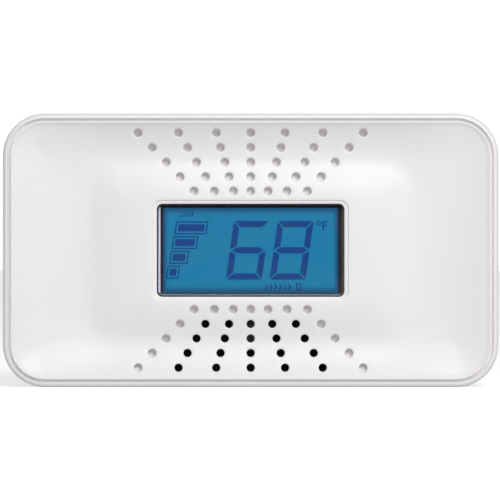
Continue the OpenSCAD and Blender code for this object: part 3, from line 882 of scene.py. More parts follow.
@dataclass(frozen=True)
class Banded(Finish):
    """Stripes across one axis, such as wound wire or layered contact rubber.

    Attributes:
        other: Colour of every second stripe.
        pitch: Distance between stripes.
        axis: The axis that the stripes repeat along.
        sharp: How sharply a stripe ends, from 0 to 1.
    """

    other: Color = (0.5, 0.5, 0.5)
    pitch: float = 0.4 * MM
    axis: str = "X"
    sharp: float = 0.2

    def pattern(self, tree: bpy.types.NodeTree, color: Any, height: Any) -> tuple[Any, Any]:
        """Mixes the two colours and raises every second stripe."""
        place = wire(tree, "ShaderNodeTexCoord").outputs["Object"]
        along = wire(tree, "ShaderNodeSeparateXYZ", {0: place}).outputs[self.axis]
        turn = wire(tree, "ShaderNodeMath", {0: along, 1: math.tau / self.pitch},
                    operation="MULTIPLY")
        wave = wire(tree, "ShaderNodeMath", {0: turn.outputs[0]}, operation="SINE")
        band = wire(tree, "ShaderNodeMapRange", {
            "Value": wave.outputs[0], "From Min": self.sharp - 1, "From Max": 1 - self.sharp})
        mixed = wire(tree, "ShaderNodeMix", {0: band.outputs[0], 6: color,
                                             7: rgba(self.other)}, data_type="RGBA")
        both = wire(tree, "ShaderNodeMath", {0: band.outputs[0], 1: 4.0, 2: height},
                    operation="MULTIPLY_ADD")
        return mixed.outputs[2], both.outputs[0]


@dataclass(frozen=True)
class SolderMask(Finish):
    """Glossy board lacquer with copper tracks and pads under it.

    Attributes:
        track: Colour over a track.
        pitch: Size of the field of tracks.
    """

    track: Color = (0.03, 0.27, 0.12)
    pitch: float = 2.4 * MM

    def pattern(self, tree: bpy.types.NodeTree, color: Any, height: Any) -> tuple[Any, Any]:
        """Adds straight tracks that turn at even angles."""
        place = wire(tree, "ShaderNodeTexCoord").outputs["Object"]
        cells = wire(tree, "ShaderNodeTexVoronoi", {"Vector": place, "Scale": 1 / self.pitch},
                     feature="F1", distance="CHEBYCHEV")
        edge = wire(tree, "ShaderNodeMath", {0: cells.outputs["Distance"], 1: 0.18},
                    operation="PINGPONG")
        track = wire(tree, "ShaderNodeMapRange", {"Value": edge.outputs[0], "From Min": 0.07,
                                                  "From Max": 0.1})
        mixed = wire(tree, "ShaderNodeMix", {0: track.outputs[0], 6: color,
                                             7: rgba(self.track)}, data_type="RGBA")
        both = wire(tree, "ShaderNodeMath", {0: track.outputs[0], 1: 6.0, 2: height},
                    operation="MULTIPLY_ADD")
        return mixed.outputs[2], both.outputs[0]


@dataclass(frozen=True)
class Clear(Finish):
    """Clear plastic that lets light through to what lies behind it.

    Attributes:
        bend: Index of refraction.
    """

    bend: float = 1.25
    roughness: float = 0.004
    uneven: float = 0.004
    relief: float = 0.0
    drift: float = 0.02
    wear: float = 0.0
    dust: float = 0.0

    def shader(self, tree: bpy.types.NodeTree, core: bpy.types.Node) -> bpy.types.NodeSocket:
        """Glass to the eye, and open to light on its way in."""
        core.inputs["Transmission Weight"].default_value = 1.0
        core.inputs["IOR"].default_value = self.bend
        path = wire(tree, "ShaderNodeLightPath").outputs["Is Shadow Ray"]
        through = wire(tree, "ShaderNodeBsdfTransparent", {"Color": rgba(self.color)})
        mixed = wire(tree, "ShaderNodeMixShader", {0: path, 1: core.outputs[0],
                                                   2: through.outputs[0]})
        return mixed.outputs[0]


@dataclass(frozen=True)
class Backlit(Finish):
    """Liquid crystal glass lit from behind, dimmer towards its border.

    Attributes:
        glow: Colour of the light in the middle.
        rim: Colour of the light at the border.
        middle: Middle of the lit area in the frame's coordinates.
        half: Halves of the lit area, across and up.
        fade: Width of the dimmer border, across and up.
    """

    glow: Color = (0.0, 0.181, 0.354)
    rim: Color = (0.0, 0.066, 0.172)
    middle: tuple[float, float, float] = (0.0, 0.0, 0.0)
    half: tuple[float, float] = (0.02, 0.01)
    fade: tuple[float, float] = (1.5 * MM, 2.2 * MM)
    roughness: float = 0.3
    uneven: float = 0.03
    specular: float = 0.1
    wear: float = 0.0
    dust: float = 0.0

    def shader(self, tree: bpy.types.NodeTree, core: bpy.types.Node) -> bpy.types.NodeSocket:
        """Adds the light to the glass."""
        place = wire(tree, "ShaderNodeTexCoord").outputs["Object"]
        centred = wire(tree, "ShaderNodeMapping", {
            "Vector": place, "Location": tuple(-c for c in self.middle)})
        parts = wire(tree, "ShaderNodeSeparateXYZ", {0: centred.outputs[0]})
        shares = []
        for key, half, fade in zip("XZ", self.half, self.fade):
            size = wire(tree, "ShaderNodeMath", {0: parts.outputs[key]}, operation="ABSOLUTE")
            shares.append(wire(tree, "ShaderNodeMapRange", {
                "Value": size.outputs[0], "From Min": half, "From Max": half - fade},
                interpolation_type="SMOOTHERSTEP").outputs[0])
        lit = wire(tree, "ShaderNodeMath", {0: shares[0], 1: shares[1]}, operation="MULTIPLY")
        cloud = wire(tree, "ShaderNodeTexNoise", {"Vector": place, "Scale": 70.0})
        soft = wire(tree, "ShaderNodeMapRange", {"Value": cloud.outputs["Fac"], "To Min": 0.94,
                                                 "To Max": 1.0})
        lit = wire(tree, "ShaderNodeMath", {0: lit.outputs[0], 1: soft.outputs[0]},
                   operation="MULTIPLY")
        glow = wire(tree, "ShaderNodeMix", {0: lit.outputs[0], 6: rgba(self.rim),
                                            7: rgba(self.glow)}, data_type="RGBA")
        tree.links.new(glow.outputs[2], core.inputs["Emission Color"])
        core.inputs["Emission Strength"].default_value = 1.0
        return core.outputs[0]


# ---------------------------------------------------------------- sub-assemblies


@dataclass
class Workshop:
    """What every sub-assembly needs: the shared effects and the finishes by slot."""

    effects: Effects
    finishes: dict[str, Finish]
    painted: dict[str, bpy.types.Material] = field(default_factory=dict)

    def material(self, name: str) -> bpy.types.Material:
        """The material of a finish, built the first time that it is asked for."""
        if name not in self.painted:
            self.painted[name] = self.finishes[name].paint(self.effects)
        return self.painted[name]

    def dress(self, piece: bpy.types.Object | str, name: str) -> None:
        """Gives a piece or a CAD node its finish, and leaves its mesh alone.

        Args:
            piece: The piece, or a CAD node's name.
            name: Name of the finish.
        """
        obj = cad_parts[piece] if isinstance(piece, str) else piece
        obj.data.materials.clear()
        obj.data.materials.append(self.material(name))
        LOG.info("%s: %d faces, %s", obj.name, len(obj.data.polygons), name)

    def fit(self, piece: bpy.types.Object, name: str, body: str,
            *replaced: str) -> bpy.types.Object:
        """Dresses a piece, lets it ride, and hides the CAD nodes that it replaces.

        Args:
            piece: The finished piece.
            name: Name of its finish.
            body: The CAD body that it rides on.
            *replaced: CAD nodes that it replaces.

        Returns:
            The piece.
        """
        self.dress(piece, name)
        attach(piece, body)
        if replaced:
            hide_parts(*replaced)
        return piece


@dataclass
class FrontCover:
    """The dished front cover with its window and its two fans of holes."""

    shop: Workshop
    corner: float = 10.5 * MM
    skirt: float = 12.0 * MM
    wall: float = 2.2 * MM
    face: float = 2.7 * MM
    edge: tuple[float, float] = (1.15 * MM, 1.5 * MM)
    groove_in: float = 1.6 * MM
    groove_w: float = 0.8 * MM
    groove_d: float = 1.15 * MM
    rim_w: float = 2.5 * MM
    rim_drop: float = 0.25 * MM
    valley: float = 4.2 * MM
    plateau: float = 2.0 * MM
    mound: tuple[float, float, float] = (40.0 * MM, 21.5 * MM, 7.0 * MM)
    softness: float = 2.0 * MM
    ridge: float = 14.0 * MM
    bezel: tuple[float, float, float] = (24.65 * MM, 12.7 * MM, 2.3 * MM)
    window: tuple[float, float, float] = (23.5 * MM, 11.65 * MM, 1.4 * MM)
    step: float = 0.35 * MM
    fillet: float = 0.15 * MM
    hole: float = 1.025 * MM
    mouth: float = 1.4 * MM
    lip: float = 0.36 * MM
    cup: float = 2.4 * MM
    row_first: float = 14.83 * MM
    row_pitch: float = 3.65 * MM
    rows: int = 5
    slopes: tuple[float, ...] = (-0.958, -0.614, -0.293, 0.0, 0.293, 0.614, 0.958)
    sides: int = 24
    pitch: float = 0.9 * MM
    counts: Counts = (110, 54, 16)
    window_counts: Counts = (50, 24, 6)
    boss: float = 3.6 * MM
    boss_end: float = 12.4 * MM
    board_boss: float = 2.8 * MM
    tower_short: float = 4.1 * MM

    def __post_init__(self) -> None:
        """Works out the outlines that the methods share."""
        low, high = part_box("front_cover")
        self.case = RoundRect((high.x - low.x) / 2, (high.z - low.z) / 2, self.corner)
        self.rim = self.case.inset(self.rim_w)
        self.foot = RoundRect(*self.mound)

    def relief(self, x: np.ndarray, y: np.ndarray) -> np.ndarray:
        """Depth of the dished surface: a trough inside the rim, then a mound to the window."""
        out = np.maximum(-self.rim.distance(x, y, self.ridge), 0)
        gap = self.foot.distance(x, y)
        u = out / (out + np.maximum(gap, 0) + TINY)
        bowl = self.rim_drop + (self.valley - self.rim_drop) * (1 - (1 - u) ** 2)
        climb = (-gap + np.hypot(gap, self.softness)) / 2 * np.minimum(out / self.softness, 1)
        window = np.maximum(RoundRect(*self.bezel).distance(x, y), 0)
        v = climb / (climb + window + TINY)
        return bowl - (bowl - self.plateau) * (1 - (1 - v) ** 2)

    def hole_places(self) -> list[tuple[float, float, bool]]:
        """Middle of every hole, and whether it is open: below, in the outer rows' middle."""
        made = []
        for side in (1, -1):
            for row in range(self.rows):
                y = self.row_first + row * self.row_pitch
                for column, slope in enumerate(self.slopes):
                    is_open = side < 0 and row > 0 and 0 < column < len(self.slopes) - 1
                    made.append((y * slope, side * y, is_open))
        return made

    def linings(self, places: list[tuple[float, float, bool]]) -> bpy.types.Object:
        """The rounded mouths, cups and tubes of all the holes, on a flat sheet."""
        seed = bpy.data.meshes.new("hole_points")
        seed.from_pydata([(x, y, 0.0) for x, y, _ in places], [], [])
        marks = seed.attributes.new("open", "BOOLEAN", "POINT")
        marks.data.foreach_set("value", [is_open for *_, is_open in places])
        return perforator().grow(
            "hole_linings", seed, sides=self.sides, mouth=self.mouth, bore=self.hole,
            lip=self.lip, cup=self.cup, wall=self.face,
            finish=self.shop.material("case_white"))

    def add_face(self, skin: Skin) -> None:
        """The dished face, front and back, pierced by holes, window and bosses."""
        counts, ring = self.counts, (0, 0, self.sides // 4)
        places = self.hole_places()
        bezel = RoundRect(*self.bezel)
        tower = face_rect("lcd_frame", 1.5 * MM).inset(-1.55 * MM)
        cuts = [(bezel, self.window_counts)]
        cuts += [(RoundRect.circle(self.mouth, x, y), ring) for x, y, _ in places]
        skin.sheet(self.rim, counts, cuts, self.pitch, 0.0)
        linings = self.linings(places)
        skin.take(linings.data)
        bpy.data.objects.remove(linings)
        inner = self.case.inset(self.wall)
        cuts = [(tower, self.window_counts)]
        cuts += [(RoundRect.circle(self.hole, x, y), ring) for x, y, is_open in places if is_open]
        cuts += [(RoundRect.circle(r, x, y), ring) for x, y, r, _, _ in self.bosses()]
        skin.sheet(inner, counts, cuts, self.pitch * 1.6, self.face)
        skin.shift(self.relief)

    def bosses(self) -> list[tuple[float, float, float, float, float]]:
        """Place, radius, end and bore of every screw boss behind the face."""
        low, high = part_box("case_screws")
        head = 2.6 * MM
        x, y = (high.x - low.x) / 2 - head, (high.z - low.z) / 2 - head
        made = [(sx * x, sy * y, self.boss, self.boss_end, 1.25 * MM)
                for sx in (1, -1) for sy in (1, -1)]
        low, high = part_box("board_screws")
        x, end = (high.x - low.x) / 2 - 1.9 * MM, depth_span("main_board")[0]
        return made + [(s * x, 0.0, self.board_boss, end, 0.95 * MM) for s in (1, -1)]

    def add_rim(self, skin: Skin) -> None:
        """The rounded rim with its groove and lip, the skirt and its inner wall."""
        wide, deep = self.edge
        arc = [math.pi / 2 * k / 8 for k in range(9)]
        profile = [(0.35 * MM, self.skirt), (0.1 * MM, self.skirt - 0.1 * MM),
                   (0.0, self.skirt - 0.35 * MM)]
        profile += [(wide * (1 - math.cos(t)), deep * (1 - math.sin(t))) for t in arc]
        near, far = self.groove_in - self.groove_w / 2, self.groove_in + self.groove_w / 2
        lead = 0.09 * MM
        profile += [(near, lead / 2), (near + lead / 2, lead * 2)]
        for k in range(7):
            t = math.pi * k / 6
            share = self.groove_in - (self.groove_w / 2 - lead) * math.cos(t)
            profile.append((share, self.groove_d - 0.25 * MM + 0.25 * MM * math.sin(t)))
        profile += [(far - lead / 2, lead * 2), (far, lead / 2), (far + lead, 0.0)]
        profile += [(self.rim_w - 0.3 * MM, 0.01 * MM), (self.rim_w - 0.12 * MM, 0.07 * MM)]
        rings = [(self.case.inset(i).points(*self.counts), d) for i, d in profile]
        last = self.rim.points(*self.counts)
        rings.append((last, self.relief(last[:, 0], last[:, 1])))
        skin.loft(rings)
        inner = self.case.inset(self.wall).points(*self.counts)
        back = self.relief(inner[:, 0], inner[:, 1]) + self.face
        skin.loft([(self.case.inset(0.35 * MM).points(*self.counts), self.skirt),
                   (self.case.inset(self.wall - 0.15 * MM).points(*self.counts), self.skirt),
                   (inner, self.skirt - 0.15 * MM), (inner, back)])

    def add_window(self, skin: Skin) -> None:
        """The stepped window, the lens seat and the tower round the display."""
        bezel, opening = RoundRect(*self.bezel), RoundRect(*self.window)
        counts, small = self.window_counts, self.fillet
        seat, shelf = depth_span("display_lens")
        ledge = self.plateau + self.step
        outer = bezel.points(*counts)
        rings = [(outer, self.relief(outer[:, 0], outer[:, 1]))]
        rings += [(bezel.inset(i * small).points(*counts), self.plateau + d * small)
                  for i, d in ((0.3, 0.08), (0.7, 0.35), (0.95, 0.9))]
        rings += [(bezel.inset(i * small).points(*counts), ledge - d * small)
                  for i, d in ((1.0, 0.7), (1.2, 0.2), (1.7, 0.0))]
        rings += [(opening.inset(-i * small).points(*counts), ledge + d * small)
                  for i, d in ((1.6, 0.0), (0.7, 0.3), (0.2, 0.8), (0.0, 1.6))]
        rings.append((opening.points(*counts), seat))
        pocket = face_rect("display_lens", 1.4 * MM).inset(-0.15 * MM)
        rings += [(pocket.points(*counts), seat), (pocket.points(*counts), shelf)]
        tower = face_rect("lcd_frame", 1.5 * MM).inset(-1.55 * MM)
        well = face_rect("lcd_frame", 0.3 * MM).inset(-0.15 * MM)
        end = depth_span("lcd_frame")[1] - self.tower_short
        outer = tower.points(*counts)
        rings += [(well.points(*counts), shelf), (well.points(*counts), end), (outer, end),
                  (outer, self.relief(outer[:, 0], outer[:, 1]) + self.face)]
        skin.loft(rings)

    def add_bosses(self, skin: Skin) -> None:
        """The screw bosses, each bored from its end."""
        for x, y, radius, end, bore in self.bosses():
            ring = RoundRect.circle(radius, x, y).points(0, 0, self.sides // 4)
            hole = RoundRect.circle(bore, x, y).points(0, 0, self.sides // 4)
            root = self.relief(ring[:, 0], ring[:, 1]) + self.face
            made = skin.loft([(ring, root), (ring, end), (hole, end), (hole, self.valley + 3 * MM)])
            skin.cap(made[-1])

    def build(self) -> None:
        """Makes the cover in place of its CAD node."""
        skin = Skin()
        self.add_face(skin)
        self.add_rim(skin)
        self.add_window(skin)
        self.add_bosses(skin)
        self.shop.fit(link("cover_shell", skin.mesh("cover_shell")), "case_white", "case",
                      "front_cover")


@dataclass
class Marks:
    """Flat shapes that the liquid crystal shows: digits, level bars and small signs."""

    slant: float = 0.143
    digit_h: float = 14.7 * MM
    digit_w: float = 9.05 * MM
    digit_pitch: float = 10.97 * MM
    digit_left: float = -6.27 * MM
    stroke: float = 1.58 * MM
    gap: float = 0.42 * MM
    bar_h: float = 3.3 * MM
    bar_slope: float = 0.187
    bar_line: float = 0.34 * MM
    bar_inset: float = 0.75 * MM
    bar_tops: tuple[float, ...] = (7.25 * MM, 3.55 * MM, -0.15 * MM, -3.85 * MM)
    bar_widths: tuple[float, ...] = (8.15 * MM, 6.4 * MM, 4.75 * MM, 3.15 * MM)
    bar_left: float = -18.7 * MM
    thick: float = 0.05 * MM
    segments: dict[str, str] = field(default_factory=lambda: {"6": "acdefg", "8": "abcdefg"})

    def __post_init__(self) -> None:
        """Starts with no shapes."""
        self.shapes: list[list[tuple[float, float]]] = []
        self.frames: list[tuple[list[tuple[float, float]], list[tuple[float, float]]]] = []

    def lean(self, points: Sequence[tuple[float, float]], x: float, y: float,
             slant: float | None = None) -> list[tuple[float, float]]:
        """Slants points about their own foot and moves them.

        Args:
            points: Points of a shape.
            x: Added to the first coordinate.
            y: Added to the second coordinate.
            slant: Sideways lean for each unit of height.

        Returns:
            The moved points.
        """
        slope = self.slant if slant is None else slant
        return [(px + py * slope + x, py + y) for px, py in points]

    def segment(self, name: str) -> list[tuple[float, float]]:
        """One segment of an upright digit whose lower left corner is at 0, 0."""
        w, h, t, g = self.digit_w, self.digit_h, self.stroke, self.gap / 2
        flat = [(g, 0.0), (t + g, -t), (w - t - g, -t), (w - g, 0.0)]
        half = h / 2
        side = [(0.0, -g), (t, -t - g), (t, -half + t / 2 + g), (0.0, -half + g)]
        tip, run = g * 2.2, t + g * 1.2
        bar = [(tip, 0.0), (run, t / 2), (w - run, t / 2), (w - tip, 0.0),
               (w - run, -t / 2), (run, -t / 2)]
        mirrored = {"a": (flat, 1, 1), "d": (flat, 1, -1), "f": (side, 1, 1), "e": (side, 1, -1),
                    "b": (side, -1, 1), "c": (side, -1, -1)}
        if name == "g":
            return [(x, y + half) for x, y in bar]
        shape, flip, upside = mirrored[name]
        return [(x if flip > 0 else w - x, h + y if upside > 0 else -y) for x, y in shape]

    def add_digits(self, digits: str) -> None:
        """Adds a row of slanted digits, centred in height."""
        for i, digit in enumerate(digits):
            left = self.digit_left + i * self.digit_pitch
            for name in self.segments[digit]:
                self.shapes.append(self.lean(self.segment(name), left, -self.digit_h / 2))

    def add_bars(self) -> None:
        """Adds the falling row of framed level bars."""
        for top, width in zip(self.bar_tops, self.bar_widths):
            base = top - self.bar_h
            left = self.bar_left + self.bar_slope * (top - self.bar_tops[0])
            box = [(0.0, 0.0), (width, 0.0), (width, self.bar_h), (0.0, self.bar_h)]

            def shrunk(by: float) -> list[tuple[float, float]]:
                """The bar's box moved inwards and slanted."""
                inner = [(x + (by if x == 0 else -by), y + (by if y == 0 else -by))
                         for x, y in box]
                return self.lean(inner, left - self.slant * self.bar_h, base)

            self.frames.append((shrunk(0.0), shrunk(self.bar_line)))
            self.shapes.append(shrunk(self.bar_inset))

    def add_signs(self) -> None:
        """Adds the degree ring and letter, a small rising gauge and the way-out sign."""
        ring = RoundRect.circle(0.62 * MM, 17.1 * MM, 6.85 * MM).points(0, 0, 6).tolist()
        hole = RoundRect.circle(0.34 * MM, 17.1 * MM, 6.85 * MM).points(0, 0, 6).tolist()
        self.frames.append((ring, hole))
        w, h, t = 1.25 * MM, 2.35 * MM, 0.36 * MM
        letter = [(0, 0), (t, 0), (t, h / 2 - t / 2), (w * 0.85, h / 2 - t / 2),
                  (w * 0.85, h / 2 + t / 2), (t, h / 2 + t / 2), (t, h - t), (w, h - t),
                  (w, h), (0, h)]
        self.shapes.append(self.lean(letter, 18.0 * MM, 5.0 * MM, 0.05))
        for k in range(6):
            tall = (0.35 + 0.2 * k) * MM
            step = [(0, 0), (0.36 * MM, 0), (0.36 * MM, tall), (0, tall)]
            self.shapes.append(self.lean(step, (-18.4 + 0.72 * k) * MM, 8.35 * MM))
        arm, tall = 0.42 * MM, 1.5 * MM
        for k in range(6):
            arrow = [(0, 0), (arm, 0), (2.2 * arm, tall / 2), (arm, tall), (0, tall),
                     (1.2 * arm, tall / 2)]
            self.shapes.append(self.lean(arrow, (3.5 + 1.15 * k) * MM, -9.9 * MM, 0.0))
        door = [(0, 0), (1.3 * MM, 0), (1.3 * MM, 1.8 * MM), (0, 1.8 * MM)]
        inner = [(0.28 * MM, 0.28 * MM), (1.02 * MM, 0.28 * MM), (1.02 * MM, 1.52 * MM),
                 (0.28 * MM, 1.52 * MM)]
        self.frames.append((self.lean(door, 11.4 * MM, -10.05 * MM, 0.0),
                            self.lean(inner, 11.4 * MM, -10.05 * MM, 0.0)))

    def skin(self, x: float, depth: float) -> Skin:
        """All shapes as thin closed plates.

        Args:
            x: Middle of the display.
            depth: Depth of their fronts.

        Returns:
            The gathered plates.
        """
        made = Skin()
        for shape in self.shapes:
            points = np.array(shape) + (x, 0.0)
            made.solid([(points, depth), (points, depth + self.thick)])
        for outer, inner in self.frames:
            far, near = np.array(outer) + (x, 0.0), np.array(inner) + (x, 0.0)
            rings = made.loft([(far, depth), (far, depth + self.thick),
                               (near, depth + self.thick), (near, depth)])
            made.bridge(rings[-1], rings[0])
        return made


@dataclass
class Display:
    """The lens, the frame behind it, the lit glass and what the glass shows."""

    shop: Workshop
    lens_edge: float = 0.25 * MM
    counts: Counts = (50, 24, 6)
    window: tuple[float, float, float] = (23.5 * MM, 11.65 * MM, 1.4 * MM)
    flat: float = 0.42 * MM
    slope: float = 0.5 * MM
    slope_depth: float = 0.42 * MM
    lift: float = 0.02 * MM

    def build_lens(self) -> None:
        """A clear plate with rounded edges."""
        front, back = depth_span("display_lens")
        skin = Skin()
        shape = face_rect("display_lens", 1.4 * MM)
        skin.solid(rounded_rings(shape, front, back, self.lens_edge, self.counts))
        self.shop.fit(link("lens_plate", skin.mesh("lens_plate", crease=60)), "clear_lens",
                      "case", "display_lens")

    def build_surround(self) -> None:
        """The dark sloping surround that leads down to the glass inside the frame's lip."""
        lip = depth_span("lcd_frame")[0]
        glass = depth_span("lcd_glass")[0]
        window = RoundRect(*self.window)
        start, end = self.flat, self.flat + self.slope
        low = lip + self.slope_depth
        profile = [(-1.0 * MM, lip - self.lift), (start, lip - self.lift), (end, low),
                   (end + 0.1 * MM, low), (end + 0.1 * MM, glass - self.lift),
                   (-1.0 * MM, glass - self.lift)]
        skin = Skin()
        rings = skin.loft([(window.inset(i).points(*self.counts), d) for i, d in profile])
        skin.bridge(rings[-1], rings[0])
        self.shop.fit(link("lcd_surround", skin.mesh("lcd_surround", crease=25)),
                      "surround_gloss", "case")

    def strip(self, name: str, finish: str, first: int, count: int, near: float,
              far: float) -> None:
        """A thin band of painted light along part of the window's outline, just behind the lens.

        Args:
            name: Name of the piece.
            finish: Its finish, which carries the painted light.
            first: The outline point where it starts.
            count: How many outline points it covers.
            near: Distance of its outer edge from the window's edge.
            far: Distance of its inner edge from the window's edge.
        """
        window, depth = RoundRect(*self.window), depth_span("lcd_frame")[0]
        outer = np.roll(window.inset(near).points(*self.counts), -first, axis=0)[:count]
        inner = np.roll(window.inset(far).points(*self.counts), -first, axis=0)[:count]
        loop = np.vstack([outer, inner[::-1]])
        skin = Skin()
        skin.solid([(loop, depth - 3 * self.lift), (loop, depth - 1.5 * self.lift)])
        self.shop.fit(link(name, skin.mesh(name, crease=20)), finish, "case")

    def build_strips(self) -> None:
        """Painted light at the opening's edges: a painted highlight on the left, a painted
        reflection along the bottom and painted shade on the right.
        """
        across, along, corner = self.counts
        side = along + 2 * corner
        left = along + corner + across + corner // 2
        # painted highlight on the left edge, painted reflection along the bottom, painted shade on
        # the right
        self.strip("edge_painted_highlight", "painted_highlight_lilac", left, side - corner, 0.39 * MM, 0.86 * MM)
        low = 2 * along + across + 3 * corner - corner // 2
        self.strip("edge_painted_reflection", "painted_reflection_blue_grey", low, across + corner, 0.25 * MM, 0.75 * MM)
        turn = 2 * across + 2 * along + 4 * corner - corner // 2
        self.strip("edge_painted_shade", "painted_shade_brown", turn, along + corner, 0.0, 0.6 * MM)

    def build_marks(self) -> None:
        """The digits, bars and signs on the front of the glass."""
        marks = Marks()
        marks.add_digits("68")
        marks.add_bars()
        marks.add_signs()
        glass = depth_span("lcd_glass")[0]
        skin = marks.skin(0.0, glass - self.lift - marks.thick)
        self.shop.fit(link("lcd_marks", skin.mesh("lcd_marks", crease=20)), "lcd_ink", "case")

    def build(self) -> None:
        """Makes every piece of the display."""
        self.build_lens()
        self.build_surround()
        self.build_strips()
        self.build_marks()
        for node, slot in (("lcd_frame", "black_frame"), ("lcd_glass", "lcd_blue"),
                           ("diffuser_film", "film"), ("light_guide", "guide_clear"),
                           ("reflector_foil", "foil"), ("backlight_leds", "led"),
                           ("lcd_contacts", "contact_rubber")):
            self.shop.dress(node, slot)


def cylinders(name: str, spots: Iterable[tuple[float, float, float]], front: float, back: float,
              corner: int = 12, edge: float = 0.0) -> bpy.types.Object:
    """Closed upright cylinders in face coordinates, in one object.

    Args:
        name: Name of the object.
        spots: Middle and radius of each cylinder.
        front: Depth of their fronts.
        back: Depth of their backs.
        corner: Steps in each quarter of the circle.
        edge: Radius of their end edges, or 0 for sharp ones.

    Returns:
        The object.
    """
    skin = Skin()
    counts = (0, 0, corner)
    for x, y, radius in spots:
        shape = RoundRect.circle(radius, x, y)
        if edge:
            skin.solid(rounded_rings(shape, front, back, edge, counts))
        else:
            skin.solid([(shape.points(*counts), front), (shape.points(*counts), back)])
    return link(name, skin.mesh(name))


def slabs(name: str, shapes: Iterable[tuple[RoundRect, float, float]], edge: float = 0.0,
          counts: Counts = (4, 4, 6), seat: Seat = FACE) -> bpy.types.Object:
    """Closed slabs between two depths, in one object.

    Args:
        name: Name of the object.
        shapes: Outline, front and back of each slab.
        edge: Radius of their edges, or 0 for sharp ones.
        counts: Steps of their outlines.
        seat: Where they are placed.

    Returns:
        The object.
    """
    skin = Skin()
    for shape, front, back in shapes:
        if edge:
            skin.solid(rounded_rings(shape, front, back, edge, counts, steps=3))
        else:
            skin.solid([(shape.points(*counts), front), (shape.points(*counts), back)])
    return link(name, skin.mesh(name, seat))


def flared(slot: RoundRect, counts: Counts, flare: float, front: float, back: float) -> Skin:
    """A closed plug for a slot whose mouth widens in a quarter round.

    Args:
        slot: Outline of the slot.
        counts: Steps of the outline.
        flare: Radius of the quarter round.
        front: Depth where the plug starts, outside the wall.
        back: Depth where it ends, inside the wall.

    Returns:
        The plug.
    """
    arc = [math.pi / 2 * k / 4 for k in range(5)]
    rings = [(slot.inset(-flare).points(*counts), front)]
    rings += [(slot.inset(-flare * (1 - math.sin(t))).points(*counts), flare * (1 - math.cos(t)))
              for t in arc]
    rings.append((slot.points(*counts), back))
    skin = Skin()
    skin.solid(rings)
    return skin


